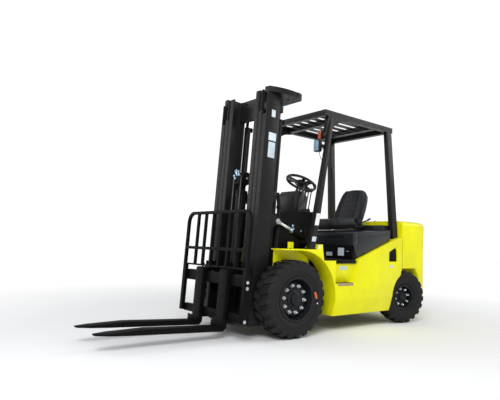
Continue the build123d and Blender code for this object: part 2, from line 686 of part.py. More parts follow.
def radiator_cover_solid():
    """Fixed cover between the hood and the counterweight, with the hood's hinge pins."""
    half = BODY_INNER - SEAT_GAP
    front = HOOD_REAR + HOOD_GAP
    cover = block(-half, half, front, WEIGHT_FRONT - 10 - SEAT_GAP, 900, HOOD_TOP_REAR + 60)
    for side in (-1, 1):
        x = side * HINGE_X
        cover = cover + hinge_pin(x, HINGE_R / 2)
        for x0 in (x - 32, x + 22):
            ear = block(x0, x0 + 10, HINGE_Y - HINGE_R, front + 1, HINGE_Z - HINGE_R + 1, HINGE_Z + HINGE_R)
            cover = cover + ear
    return cover


def engine_solid():
    """Engine as one plain block."""
    feet = block(-FRAME_X + SEAT_GAP, FRAME_X - SEAT_GAP, 1000, 1080, 500, 540)
    return block(-165, 165, ENGINE_FRONT, 1370, 300, 850) + feet


def transmission_solid():
    """Transmission case between the engine and the drive axle."""
    rear = ENGINE_FRONT - SEAT_GAP
    return side_plate([(150, 270), (150, 430), (420, 520), (rear, 560), (rear, 280), (420, 230)],
                      -120, 120)


# Overhead guard

def front_leg_solid():
    """Left front leg, from the fender up to the roof rail."""
    foot = BODY_HALF - 18
    return loft_sections([
        (foot - 60, foot, 174, 243, FENDER_TOP),
        (foot - 70, foot - 12, 258, 322, COWL_TOP - 14),
        (GUARD_HALF - 15, GUARD_HALF + 35, GUARD_FRONT + 1, GUARD_FRONT + 50, GUARD_TOP - LEG_BEND_DROP),
        (GUARD_HALF - GUARD_W, GUARD_HALF, GUARD_FRONT + 75, GUARD_FRONT + 128, GUARD_TOP - GUARD_H),
    ])


def rear_leg_solid():
    """Left rear leg, from the body side up to the roof rail."""
    foot = BODY_HALF - 58
    return loft_sections([
        (foot - 65, foot, GUARD_REAR, GUARD_REAR + 89, 880),
        (GUARD_HALF - GUARD_W, GUARD_HALF, GUARD_REAR - 106, GUARD_REAR - 14, GUARD_TOP - GUARD_H),
    ]) - side_body_solid()


def roof_solid():
    """Roof frame with its flat slats and rear plate."""
    z0 = GUARD_TOP - GUARD_H
    inner = GUARD_HALF - GUARD_W
    roof = block(inner, GUARD_HALF, GUARD_FRONT, GUARD_REAR, z0, GUARD_TOP)
    roof = roof + block(-GUARD_HALF, -inner, GUARD_FRONT, GUARD_REAR, z0, GUARD_TOP)
    middle = GUARD_FRONT + 285
    for y0, y1 in ((GUARD_FRONT, GUARD_FRONT + GUARD_W), (middle, middle + 60), (SLAT_REAR, SLAT_REAR + 60),
                   (GUARD_REAR - 60, GUARD_REAR)):
        roof = roof + block(-GUARD_HALF, GUARD_HALF, y0, y1, z0, GUARD_TOP)
    slat_top = GUARD_TOP - 6
    for index in range(-3, 4):
        x = index * SLAT_PITCH
        roof = roof + block(x - SLAT_W / 2, x + SLAT_W / 2, GUARD_FRONT + 10, SLAT_REAR + 10,
                            slat_top - SLAT_T, slat_top)
    return roof + block(-inner - 1, inner + 1, SLAT_REAR + 10, GUARD_REAR - 10, slat_top - SLAT_T, slat_top)


# Seat and controls

def hood_top(y):
    """Height of the hood's top at a place along the truck."""
    start = HOOD_FRONT + 16
    return HOOD_TOP_FRONT + (HOOD_TOP_REAR - HOOD_TOP_FRONT) * (y - start) / (HOOD_REAR - start)


def seat_line(y):
    """Height of the seat pan's top at a place along the truck."""
    return SEAT_FRONT_Z + (SEAT_REAR_Z - SEAT_FRONT_Z) * (y - 880) / 390


def seat_base_solid():
    """Seat rails and pan on the hood."""
    front = 880
    rear = 1340
    return side_plate([
        (front, hood_top(front) + SEAT_GAP), (rear, hood_top(rear) + SEAT_GAP),
        (rear, seat_line(rear)), (front, seat_line(front)),
    ], -200, 200)


def seat_cushion_solid():
    """Seat cushion."""
    return side_plate([
        (845, seat_line(845) + SEAT_GAP), (845, 1085), (870, 1105), (SEAT_BACK_Y - SEAT_GAP, 1126),
        (SEAT_BACK_Y - SEAT_GAP, seat_line(SEAT_BACK_Y) + SEAT_GAP),
    ], -SEAT_HALF, SEAT_HALF)


def seat_back_solid():
    """Seat back, leaned back and narrower at its top."""
    outline = make_face(Polyline(
        (-150, 0), (-178, 60), (-182, 170), (-138, SEAT_BACK_L), (138, SEAT_BACK_L), (182, 170), (178, 60),
        (150, 0), close=True))
    rounded = fillet(outline.vertices(), 26)
    low = seat_line(SEAT_BACK_Y) + 40
    place = Plane(origin=(0, SEAT_BACK_Y, low), x_dir=(1, 0, 0), z_dir=(0, -1, 0))
    cushion = place * extrude(rounded, amount=-SEAT_BACK_T)
    cushion = cushion.rotate(Axis((0, SEAT_BACK_Y, low), (1, 0, 0)), -SEAT_BACK_LEAN)
    foot = side_plate([
        (SEAT_BACK_Y + 8, seat_line(SEAT_BACK_Y + 8) + SEAT_GAP), (SEAT_BACK_Y + 8, low + 40),
        (SEAT_BACK_Y + 90, low + 90), (SEAT_BACK_Y + 90, seat_line(SEAT_BACK_Y + 90) + SEAT_GAP),
    ], -140, 140)
    return cushion + foot


def steering_wheel_solid():
    """Steering wheel about Z at the origin."""
    grip = Plane.XZ * (Pos(WHEEL_R, 0) * RegularPolygon(WHEEL_GRIP_R, 8))
    wheel = revolve(grip, Axis.Z) + Cylinder(WHEEL_HUB_R, 2 * WHEEL_HUB_HALF)
    for angle in (90, 210, 330):
        wheel = wheel + Rotation(0, 0, angle) * block(0, WHEEL_R - 2, -18, 18, -6, 6)
    return wheel


def column_plane():
    """Plane of the steering wheel, tilted towards the driver."""
    return Plane(origin=(0, 540, 1510), x_dir=(1, 0, 0), z_dir=(0, 0.42, 0.9075))


def column_solid():
    """Steering column under the wheel."""
    top = WHEEL_HUB_HALF + SEAT_GAP
    return column_plane() * (Pos(0, 0, -top) * Cylinder(28, 248, align=(MID, MID, Align.MAX)))


def levers_solid():
    """Hydraulic levers beside the dash."""
    levers = []
    for index in range(3):
        x = 190 + 42 * index
        stick = rod((x, 400, LEVER_Z + SEAT_GAP + 2), (x, 440, 1390), 6)
        foot = rod((x, 400, LEVER_Z + SEAT_GAP), (x, 400, LEVER_Z + 12), 14)
        knob = Pos(x, 442, 1386) * Cylinder(15, 26, align=(MID, MID, MIN))
        knob = knob + Pos(x, 442, 1412) * Cone(15, 7, 11, align=(MID, MID, MIN))
        levers.append(stick + foot + knob)
    return levers


# Mast pieces, drawn upright

def rail(x0, web, top, notch):
    """Left mast rail: a channel or a joist, with its front flange cut back by the notch at its top."""
    x1 = x0 + RAIL_W
    web_x = x1 - RAIL_WEB if web == "outside" else x0 + (RAIL_W - RAIL_WEB) / 2
    column = block(web_x, web_x + RAIL_WEB, RAIL_FRONT, RAIL_REAR, MAST_FOOT, top)
    column = column + block(x0, x1, RAIL_FRONT, RAIL_FRONT + RAIL_FLANGE, MAST_FOOT, top - notch)
    column = column + block(x0, x1, RAIL_REAR - RAIL_FLANGE, RAIL_REAR, MAST_FOOT, top)
    return column


def outer_rail_solid():
    """Left outer rail with its tilt clevis."""
    piece = rail(MAST_HALF - RAIL_W, "outside", OUTER_TOP, NOTCH)
    y, z = TILT_EYE
    for inner in (TILT_X - TILT_EYE_HALF - 2 - CLEVIS_T, TILT_X + TILT_EYE_HALF + 2):
        ear = side_plate([(RAIL_REAR - 1, z - 90), (RAIL_REAR - 1, z + 70), (y, z + 24),
                          (y + 22, z), (y, z - 24)], inner, inner + CLEVIS_T)
        piece = piece + ear
    pin = rod((TILT_X - 26, y, z), (TILT_X + 26, y, z), TILT_PIN_R)
    return piece + pin


def saddle_solid():
    """Left saddle that hangs the outer rail on the drive axle's tube."""
    x0 = MAST_HALF - RAIL_W + 2
    x1 = x0 + SADDLE_W
    rear = RAIL_REAR + SEAT_GAP
    saddle = side_plate([(rear, 232), (rear, 410), (-30, 444), (-30, 258)], x0, x1)
    ring = rod((x0, 0, FRONT_TYRE_R), (x1, 0, FRONT_TYRE_R), SADDLE_R)
    bore = rod((x0 - 10, 0, FRONT_TYRE_R), (x1 + 10, 0, FRONT_TYRE_R), AXLE_TUBE_R + SEAT_GAP)
    return saddle + ring - bore


def outer_beams_solid():
    """Cross members of the outer mast with the lift cylinders' shelf."""
    y0 = OUTER_BEAM_Y
    y1 = OUTER_BEAM_Y + OUTER_BEAM_T
    solids = []
    half = MAST_HALF - BEAM_INSET
    pad = MAST_HALF - RAIL_W + 4
    for z0, z1 in ((MAST_FOOT, 215), (LIFT_FOOT - 14, 560), (ANCHOR_Z - 115, ANCHOR_Z - 15),
                   (OUTER_TOP - 153, OUTER_TOP - 93)):
        beam = block(-half, half, y0, y1, z0, z1)
        beam = beam + block(pad, half, RAIL_REAR + SEAT_GAP, y1, z0, z1)
        beam = beam + block(-half, -pad, RAIL_REAR + SEAT_GAP, y1, z0, z1)
        if z0 == LIFT_FOOT - 14:
            for side in (-1, 1):
                x = side * LIFT_X
                beam = beam + block(x - 34, x + 34, y0, LIFT_Y + LIFT_BARREL_R, z0, LIFT_FOOT)
        if z0 < ANCHOR_Z < z1 + 20:
            for side in (-1, 1):
                x = side * BACK_CHAIN_X
                beam = beam + block(x - 14, x + 14, y1 - 1, REAR_STRAND_Y + 9, ANCHOR_Z - 35,
                                    ANCHOR_Z - SEAT_GAP)
        solids.append(beam)
    return solids


def lift_barrel_solid():
    """Left lift cylinder barrel."""
    barrel = rod((LIFT_X, LIFT_Y, LIFT_FOOT + SEAT_GAP), (LIFT_X, LIFT_Y, LIFT_BARREL_TOP), LIFT_BARREL_R)
    bore = rod((LIFT_X, LIFT_Y, LIFT_FOOT + 20), (LIFT_X, LIFT_Y, LIFT_BARREL_TOP + 5),
               LIFT_ROD_R + SEAT_GAP)
    return barrel - bore


def middle_beams_solid():
    """Cross members and top tie plate of the middle mast."""
    half = MAST_HALF - RAIL_STEP - 2
    inner = MAST_HALF - RAIL_STEP - RAIL_W + 4
    y0 = MIDDLE_BEAM_Y
    y1 = y0 + MIDDLE_BEAM_T
    solids = []
    for z0, z1 in ((MAST_FOOT + 10, 225), (1060, 1160)):
        beam = block(-half, half, y0, y1, z0, z1)
        for x0, x1 in ((-half, -inner), (inner, half)):
            beam = beam + block(x0, x1, RAIL_REAR + SEAT_GAP, y0 + 1, z0, z1)
        solids.append(beam)
    z0 = TIE_TOP - TIE_PLATE_T
    plate = tie_plate_solid() - block(-inner, inner, RAIL_REAR - 5, RAIL_REAR + 6, z0 - 5, TIE_TOP + 5)
    for side in (-1, 1):
        x = side * BACK_CHAIN_X
        cheek = side_plate([
            (y0 - 10, z0 + 1), (y0 - 4, BACK_SHEAVE_Z - 8), (REAR_STRAND_Y - 16, BACK_SHEAVE_Z - 8),
            (REAR_STRAND_Y, z0 + 1),
        ], x - 20, x - 14)
        y = CHAIN_Y + BACK_SHEAVE_R
        sheave = rod((x - 11, y, BACK_SHEAVE_Z), (x + 11, y, BACK_SHEAVE_Z),
                     BACK_SHEAVE_R - CHAIN_T / 2 - SEAT_GAP)
        plate = plate + cheek + sheave + rod((x - 18, y, BACK_SHEAVE_Z), (x, y, BACK_SHEAVE_Z), 8)
    solids.append(plate)
    return solids


def tie_plate_solid():
    """Thick plate over the mast's top, with curved ends that bulge past the rails."""
    rail_side = MAST_HALF - RAIL_STEP + SEAT_GAP
    front = RAIL_FRONT + 7
    back = RAIL_REAR + SEAT_GAP
    corner = (rail_side + 60, front + 5)
    bulge = (TIE_HALF, LIFT_Y + 38)
    side = Line((0, back), (rail_side, back)) + Line((rail_side, back), (rail_side, front))
    side = side + Line((rail_side, front), corner)
    side = side + ThreePointArc(corner, (TIE_HALF - 17, LIFT_Y - 107), bulge)
    side = side + ThreePointArc(bulge, (TIE_HALF - 12, TIE_REAR - 28), (TIE_HALF - 46, TIE_REAR))
    side = side + Line((TIE_HALF - 46, TIE_REAR), (0, TIE_REAR))
    plan = make_face(side.edges() + mirror(side, about=Plane.YZ).edges())
    plate = Pos(0, 0, TIE_TOP - TIE_PLATE_T) * extrude(plan, amount=TIE_PLATE_T, dir=(0, 0, 1))
    for x in (-330, 330):
        plate = plate - rod((x, LIFT_Y + 38, TIE_TOP - TIE_PLATE_T - 5), (x, LIFT_Y + 38, TIE_TOP + 5), 14)
    return plate


def lift_rod_solid():
    """Left lift cylinder rod."""
    top = TIE_TOP - TIE_PLATE_T - SEAT_GAP
    return rod((LIFT_X, LIFT_Y, LIFT_FOOT + 30), (LIFT_X, LIFT_Y, top), LIFT_ROD_R)


def inner_rail_solid():
    """Left inner rail with the anchor of its lift chain."""
    lug = block(BACK_CHAIN_X - 12, BACK_CHAIN_X + 12, RAIL_REAR - 1, MIDDLE_BEAM_Y - BEAM_STEP,
                INNER_ANCHOR_Z - 30, INNER_ANCHOR_Z - SEAT_GAP)
    return rail(MAST_HALF - RAIL_W - 2 * RAIL_STEP, "outside", MAST_TOP, 0) + lug


def inner_beams_solid():
    """Cross members of the inner mast."""
    half = MAST_HALF - 2 * RAIL_STEP - RAIL_WEB
    low = block(-half + 50, half - 50, FREE_Y - 56, RAIL_REAR - 30, MAST_FOOT, MAST_FOOT + 24)
    web = RAIL_REAR - RAIL_FLANGE - SEAT_GAP
    back = block(-half, half, web - 12, web, MAST_FOOT, MAST_FOOT + 32)
    top = block(-half, half, web - 14, web, MAST_TOP - 214, MAST_TOP - 44)
    return [low + back, top]


def free_barrel_solid():
    """Free-lift cylinder barrel."""
    z0 = MAST_FOOT + 24 + SEAT_GAP
    barrel = rod((0, FREE_Y, z0), (0, FREE_Y, FREE_BARREL_TOP), FREE_BARREL_R)
    barrel = barrel + rod((0, FREE_Y, FREE_BARREL_TOP - 60), (0, FREE_Y, FREE_BARREL_TOP), FREE_BARREL_R + 6)
    return barrel - rod((0, FREE_Y, z0 + 30), (0, FREE_Y, FREE_BARREL_TOP + 5), FREE_ROD_R + SEAT_GAP)


def free_rod_solid():
    """Free-lift rod with its crosshead and sheaves."""
    shaft = rod((0, FREE_Y, MAST_FOOT + 70), (0, FREE_Y, SHEAVE_Z - 20), FREE_ROD_R)
    head = block(-38, 38, FREE_Y - 34, FREE_Y + 34, SHEAVE_Z - 62, SHEAVE_Z + 44)
    axle = rod((-SHEAVE_X - 20, FREE_Y, SHEAVE_Z), (SHEAVE_X + 20, FREE_Y, SHEAVE_Z), 20)
    wheels = shaft + head + axle
    for side in (-1, 1):
        x = side * SHEAVE_X
        half = SHEAVE_W / 2
        wheel = turned([
            (-half, 0), (-half, SHEAVE_R + 4), (-half + 3, SHEAVE_R + 4), (-half + 3, SHEAVE_R - 5),
            (half - 3, SHEAVE_R - 5), (half - 3, SHEAVE_R + 4), (half, SHEAVE_R + 4), (half, 0),
        ])
        wheels = wheels + Pos(x, FREE_Y, SHEAVE_Z) * wheel
    return wheels


def chain(x, y, z0, z1, width):
    """Straight strand of leaf chain."""
    return block(x - width / 2, x + width / 2, y - CHAIN_T / 2, y + CHAIN_T / 2, z0, z1)


def free_front_chains():
    """Strands from the crosshead sheaves down to the carriage."""
    y = FREE_Y - SHEAVE_R
    return [chain(side * SHEAVE_X, y, 352, SHEAVE_Z, 18) for side in (-1, 1)]


def free_rear_chains():
    """Strands from the crosshead sheaves down to their anchors on the inner mast."""
    y = FREE_Y + SHEAVE_R
    return [chain(side * SHEAVE_X, y, 960, SHEAVE_Z, 18) for side in (-1, 1)]


def lift_rear_chains():
    """Strands from the tie plate's sheaves down to their anchors on the outer mast."""
    return [chain(side * BACK_CHAIN_X, REAR_STRAND_Y, ANCHOR_Z, BACK_SHEAVE_Z, CHAIN_W) for side in (-1, 1)]


def lift_front_chains():
    """Strands from the tie plate's sheaves down to the inner mast's foot."""
    return [chain(side * BACK_CHAIN_X, CHAIN_Y, INNER_ANCHOR_Z, BACK_SHEAVE_Z, CHAIN_W) for side in (-1, 1)]


def carriage_solid():
    """Fork carriage: two bars on roller-guided side plates, with the chain anchors."""
    rear = BAR_FRONT + BAR_T
    upper = block(-BAR_HALF, BAR_HALF, BAR_FRONT, rear, UPPER_BAR_TOP - UPPER_BAR_H, UPPER_BAR_TOP)
    lower = block(-BAR_HALF, BAR_HALF, BAR_FRONT, rear, LOWER_BAR_TOP - LOWER_BAR_H, LOWER_BAR_TOP)
    frame = upper + lower
    hook_rear = rear + HOOK_CLEAR + HOOK_T + 10
    for side in (-1, 1):
        x0 = side * SIDE_PLATE_X
        x1 = side * (SIDE_PLATE_X + SIDE_PLATE_T)
        plate = side_plate([
            (rear - 1, PLATE_LOW), (rear - 1, UPPER_BAR_TOP - 40), (hook_rear, UPPER_BAR_TOP - 25),
            (hook_rear, 640), (-400, 640), (-380, 560), (RAIL_FRONT + 110, 560),
            (RAIL_FRONT + 110, PLATE_LOW),
        ], min(x0, x1), max(x0, x1))
        frame = frame + plate
        for z in (190, 490):
            y = (RAIL_FRONT + RAIL_REAR) / 2
            end = side * (MAST_HALF - 2 * RAIL_STEP - RAIL_WEB - 3)
            frame = frame + rod((x1 - side, y, z), (end, y, z), ROLLER_R)
    anchor = block(-SIDE_PLATE_X - 1, SIDE_PLATE_X + 1, -400, FREE_Y - FREE_BARREL_R - 7, 316, 350)
    return frame + anchor


def backrest_solid():
    """Load backrest of welded bars with rounded upper corners, bolted to the carriage's ends."""
    y0 = BAR_FRONT - BACKREST_BAR - 5
    y1 = y0 + BACKREST_BAR
    half = BACKREST_BAR / 2
    height = BACKREST_TOP - BACKREST_LOW
    loop = RectangleRounded(2 * BACKREST_HALF, 2 * height, BACKREST_CORNER) - RectangleRounded(
        2 * BACKREST_HALF - 2 * BACKREST_BAR, 2 * height - 2 * BACKREST_BAR, BACKREST_CORNER - BACKREST_BAR)
    ring = extrude(Plane(origin=(0, y1, BACKREST_LOW), x_dir=(1, 0, 0), z_dir=(0, -1, 0)) * loop,
                   amount=BACKREST_BAR)
    frame = ring & block(-1000, 1000, y0 - 5, y1 + 5, BACKREST_LOW, BACKREST_TOP + 5)
    post = block(BACKREST_HALF - BACKREST_SIDE, BACKREST_HALF, y0, BAR_FRONT - SEAT_GAP, BACKREST_BOTTOM,
                 BACKREST_LOW + 1)
    frame = frame + post + mirrored(post)
    side = BACKREST_HALF - 5
    frame = frame + block(-side, side, y0, y1, BACKREST_MID - half, BACKREST_MID + half)
    frame = frame + block(-side, side, y0 + 8, y1, BACKREST_LOW, BACKREST_LOW + 16)
    for index in range(6):
        x = (index - 2.5) * BACKREST_PITCH
        frame = frame + block(x - half, x + half, y0 + 3, y1 - 3, BACKREST_LOW, BACKREST_TOP - 5)
    for side in (-1, 1):
        x0 = side * (SIDE_PLATE_X + SIDE_PLATE_T + SEAT_GAP)
        x1 = side * (SIDE_PLATE_X + SIDE_PLATE_T + 14)
        frame = frame + block(min(x0, x1), max(x0, x1), y1 - 2, -402, BACKREST_LOW, 640)
    return frame


def fork_solid(x):
    """Fork with its hooks, centred at x."""
    rear = BAR_FRONT + BAR_T
    face = FORK_FACE
    heel_z = FORK_BOTTOM + FORK_T
    blade = side_plate([
        (face - FORK_LENGTH, FORK_BOTTOM + TIP_RISE), (face - FORK_LENGTH, FORK_BOTTOM + 16),
        (face - FORK_LENGTH + 400, heel_z), (face - 40, heel_z), (face - 12, heel_z + 12),
        (face, heel_z + 40), (face, FORK_TOP - 12), (face + 14, FORK_TOP),
        (rear + HOOK_CLEAR + HOOK_T, FORK_TOP),
        (rear + HOOK_CLEAR + HOOK_T, UPPER_BAR_TOP - 22), (rear + HOOK_CLEAR, UPPER_BAR_TOP - 22),
        (rear + HOOK_CLEAR, UPPER_BAR_TOP + SEAT_GAP), (face + FORK_T, UPPER_BAR_TOP + SEAT_GAP),
        (face + FORK_T, LOWER_BAR_TOP - LOWER_BAR_H - 3),
        (rear + HOOK_CLEAR, LOWER_BAR_TOP - LOWER_BAR_H - 3),
        (rear + HOOK_CLEAR, LOWER_BAR_TOP - LOWER_BAR_H + 14),
        (rear + HOOK_CLEAR + HOOK_T, LOWER_BAR_TOP - LOWER_BAR_H + 14),
        (rear + HOOK_CLEAR + HOOK_T, LOWER_BAR_TOP - LOWER_BAR_H - 22),
        (face + FORK_T, LOWER_BAR_TOP - LOWER_BAR_H - 22), (face + FORK_T, FORK_BOTTOM + 30),
        (face + FORK_T - 30, FORK_BOTTOM), (face - FORK_LENGTH + 250, FORK_BOTTOM),
    ], x - FORK_W / 2, x + FORK_W / 2)
    tip = face - FORK_LENGTH
    plan = plan_plate([
        (x - FORK_W / 2, 0), (x + FORK_W / 2, 0), (x + FORK_W / 2, tip + 110), (x + 30, tip), (x - 30, tip),
        (x - FORK_W / 2, tip + 110),
    ], 0, 900)
    return blade & plan


# Tilt cylinders, drawn at their parked place

def tilt_points():
    """Anchor pin and rod eye of the left tilt cylinder, and the direction between them."""
    y, z = TILT_EYE
    up = z - FRONT_TYRE_R
    eye_y = y * cos(LEAN) + up * sin(LEAN)
    eye_z = FRONT_TYRE_R - y * sin(LEAN) + up * cos(LEAN)
    anchor = Vector(TILT_X, *TILT_ANCHOR)
    eye = Vector(TILT_X, eye_y, eye_z)
    return anchor, eye, (eye - anchor).normalized()


def ring_x(centre, radius, bore):
    """Eye about X at a tilt cylinder's end."""
    x, y, z = tuple(centre)
    ring = rod((x - TILT_EYE_HALF, y, z), (x + TILT_EYE_HALF, y, z), radius)
    return ring - rod((x - 50, y, z), (x + 50, y, z), bore)


def tilt_barrel_solid():
    """Left tilt cylinder barrel with its anchor eye."""
    anchor, eye, run = tilt_points()
    barrel = rod(tuple(anchor + run * 42), tuple(anchor + run * TILT_BARREL_L), TILT_BARREL_R)
    neck = rod(tuple(anchor + run * 16), tuple(anchor + run * 46), TILT_EYE_HALF - 1)
    bore = rod(tuple(anchor + run * 56), tuple(anchor + run * (TILT_BARREL_L + 5)), TILT_ROD_R + SEAT_GAP)
    ring = ring_x(anchor, TILT_EYE_R - 4, TILT_PIN_R + SEAT_GAP)
    return (barrel + neck - rod(
        (TILT_X - 50, *TILT_ANCHOR), (TILT_X + 50, *TILT_ANCHOR), TILT_EYE_R - 6) - bore) + ring


def tilt_rod_solid():
    """Left tilt cylinder rod with its eye."""
    anchor, eye, run = tilt_points()
    shaft = rod(tuple(anchor + run * 96), tuple(eye - run * (TILT_EYE_R - 4)), TILT_ROD_R)
    return shaft + ring_x(eye, TILT_EYE_R, TILT_PIN_R + TILT_PLAY)


def tilt_anchor_solid():
    """Left anchor bracket on the cowl plate."""
    y, z = TILT_ANCHOR
    bracket = rod((TILT_X - 26, y, z), (TILT_X + 26, y, z), TILT_PIN_R)
    for x0 in (TILT_X - TILT_EYE_HALF - 2 - CLEVIS_T, TILT_X + TILT_EYE_HALF + 2):
        ear = side_plate([(y - 22, z - 16), (y - 22, z + 16), (COWL_Y - 12 - SEAT_GAP, z + 45),
                          (COWL_Y - 12 - SEAT_GAP, z - 70)], x0, x0 + CLEVIS_T)
        bracket = bracket + ear
    return bracket


# Lamps on the front legs

def headlamp_solid():
    """Left headlamp, an upright rounded box, with its bracket."""
    lamp = block(378, 457, GUARD_FRONT - 60, GUARD_FRONT - 16, LAMP_Z - 60, LAMP_Z + 60)
    lamp = fillet(lamp.edges().filter_by(Axis.Y), 16)
    bracket = block(440, 480, GUARD_FRONT - 32, GUARD_FRONT + 28, LAMP_Z - 14, LAMP_Z + 12)
    return lamp + (bracket - front_leg_solid())


def turn_lamp_solid():
    """Left turn lamp."""
    z = TURN_LAMP_Z
    bracket = block(440, 475, GUARD_FRONT - 12, GUARD_FRONT + 40, z - 20, z + 20) - front_leg_solid()
    return block(405, 446, GUARD_FRONT - 28, GUARD_FRONT + 12, z - 45, z + 45) + bracket


def build_running_gear():
    """Wheels, axles and steering."""
    rubber, wheel = front_wheel_solids()
    write_both("tyre_front", rubber)
    write_both("rim_front", wheel)
    rubber, wheel = rear_wheel_solids()
    knuckle = knuckle_solid()
    for side, name in ((1, "left"), (-1, "right")):
        write(f"tyre_rear_{name}", steer(rubber, side))
        write(f"rim_rear_{name}", steer(wheel, side))
        write(f"knuckle_{name}", steer(knuckle, side))
    write("track_rod", tie_rod_solid())
    write("drive_axle", drive_axle_solid())
    write("steer_axle", steer_axle_solid())


def build_body():
    """Frame, body panels, engine and counterweight."""
    write("chassis_frame", frame_solid())
    write_both("side_body", side_body_solid())
    write("counterweight", counterweight_solid())
    write("floor_plate", floor_solid())
    write_pair("step_treads", step_solid())
    write("front_cowl", cowl_solid())
    write_pair("tilt_anchors", tilt_anchor_solid())
    write("dash_console", console_solid() - column_solid())
    write("steering_column", column_solid())
    write("hydraulic_levers", *levers_solid())
    write("kick_panel", kick_panel_solid())
    write("hood", hood_solid())
    write("radiator_cover", radiator_cover_solid())
    write("engine_block", engine_solid())
    write("transmission", transmission_solid())


def build_operator_place():
    """Overhead guard, lamps, seat and steering wheel."""
    write("guard_roof", roof_solid())
    write_pair("guard_front_legs", front_leg_solid())
    write_pair("guard_rear_legs", rear_leg_solid())
    write_pair("headlamps", headlamp_solid())
    write_pair("turn_lamps", turn_lamp_solid())
    write("seat_base", seat_base_solid())
    write("seat_cushion", seat_cushion_solid())
    write("seat_back", seat_back_solid())
    write("steering_wheel", column_plane() * steering_wheel_solid())


def build_mast():
    """Three-stage mast, its cylinders and chains."""
    write_pair("mast_outer_rails", lean(outer_rail_solid()))
    write_pair("mast_saddles", lean(saddle_solid()))
    write("mast_outer_beams", *[lean(solid) for solid in outer_beams_solid()])
    middle = rail(MAST_HALF - RAIL_W - RAIL_STEP, "middle", MAST_TOP, NOTCH)
    write_pair("mast_middle_rails", lean(middle))
    write("mast_middle_beams", *[lean(solid) for solid in middle_beams_solid()])
    inner = inner_rail_solid()
    write_pair("mast_inner_rails", lean(inner))
    write("mast_inner_beams", *[lean(solid) for solid in inner_beams_solid()])
    write_pair("lift_cylinder_barrels", lean(lift_barrel_solid()))
    write_pair("lift_cylinder_rods", lean(lift_rod_solid()))
    write("free_lift_barrel", lean(free_barrel_solid()))
    write("free_lift_rod", lean(free_rod_solid()))
    write("free_lift_chains_front", *[lean(solid) for solid in free_front_chains()])
    write("free_lift_chains_rear", *[lean(solid) for solid in free_rear_chains()])
    write("lift_chains_rear", *[lean(solid) for solid in lift_rear_chains()])
    write("lift_chains_front", *[lean(solid) for solid in lift_front_chains()])
    write("fork_carriage", lean(carriage_solid()))
    write("load_backrest", lean(backrest_solid()))
    write("fork_left", lean(fork_solid(FORK_X)))
    write("fork_right", lean(fork_solid(-FORK_X)))
    write_pair("tilt_barrels", tilt_barrel_solid())
    write_pair("tilt_rods", tilt_rod_solid())


build_running_gear()
build_body()
build_operator_place()
build_mast()
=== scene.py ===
"""Dressed model of a counterbalance lift truck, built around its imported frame."""

import json
import logging
from collections.abc import Iterator
from contextlib import contextmanager
from dataclasses import dataclass
from enum import Enum
from math import cos, pi, radians, sin

import bpy
from mathutils import Matrix, Vector

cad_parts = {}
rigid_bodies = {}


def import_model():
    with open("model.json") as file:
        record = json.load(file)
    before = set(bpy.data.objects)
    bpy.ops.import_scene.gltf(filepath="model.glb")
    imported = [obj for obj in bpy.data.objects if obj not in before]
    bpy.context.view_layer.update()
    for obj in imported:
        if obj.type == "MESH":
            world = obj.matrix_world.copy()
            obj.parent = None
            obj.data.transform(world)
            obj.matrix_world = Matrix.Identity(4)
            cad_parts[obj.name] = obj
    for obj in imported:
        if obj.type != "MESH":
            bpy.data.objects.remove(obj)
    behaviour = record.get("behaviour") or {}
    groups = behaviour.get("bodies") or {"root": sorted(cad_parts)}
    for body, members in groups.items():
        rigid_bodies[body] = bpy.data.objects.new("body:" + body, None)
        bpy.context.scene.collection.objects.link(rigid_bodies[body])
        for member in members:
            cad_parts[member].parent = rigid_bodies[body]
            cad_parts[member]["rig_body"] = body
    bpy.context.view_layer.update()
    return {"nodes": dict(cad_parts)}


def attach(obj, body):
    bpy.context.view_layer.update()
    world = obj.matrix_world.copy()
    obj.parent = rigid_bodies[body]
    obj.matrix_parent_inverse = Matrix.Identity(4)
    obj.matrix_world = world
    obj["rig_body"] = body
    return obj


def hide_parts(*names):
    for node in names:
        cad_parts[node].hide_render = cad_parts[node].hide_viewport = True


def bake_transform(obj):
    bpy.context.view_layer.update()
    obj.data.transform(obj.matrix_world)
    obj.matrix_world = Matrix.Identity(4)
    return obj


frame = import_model()
LOG = logging.getLogger("lift_truck")

Colour = tuple[float, float, float]
Point = tuple[float, float, float] | Vector
Piece = bpy.types.Object
Socket = bpy.types.NodeSocket

LEAN = radians(3.1)
STEER = radians(13.6)
FRONT_AXLE = Vector((0.0, -0.28003, 0.353))
KINGPIN_X = 0.400
SCRUB = 0.090
SIDES = (1, -1)
HANDS = ((1, "left"), (-1, "right"))
SAME_POINT = 0.00002
SAME_AREA = 0.0002
FACING = 0.99
COPLANAR = radians(0.4)
QUAD_BEND = radians(0.5)
QUAD_SKEW = radians(60)
BELL_BASE = 2.718
CROWN = 0.060
CROWN_STEPS = 6
WING_X = 0.399
WING_BACK = FRONT_AXLE.y + 0.3275
WING_SHIFT = 0.100
X_AXIS = Vector((1.0, 0.0, 0.0))
UP = Vector((0.0, 0.0, 1.0))
LEANING = ("mast_outer", "mast_middle", "mast_inner", "free_lift_ram", "carriage", "fork_left", "fork_right")
PARKED = Matrix.Identity(4)
TRUCK = Matrix.Translation((0.0, FRONT_AXLE.y, 0.0))
MAST = (Matrix.Translation((0.0, FRONT_AXLE.y, FRONT_AXLE.z)) @ Matrix.Rotation(-LEAN, 4, "X")
        @ Matrix.Translation((0.0, 0.0, -FRONT_AXLE.z)))


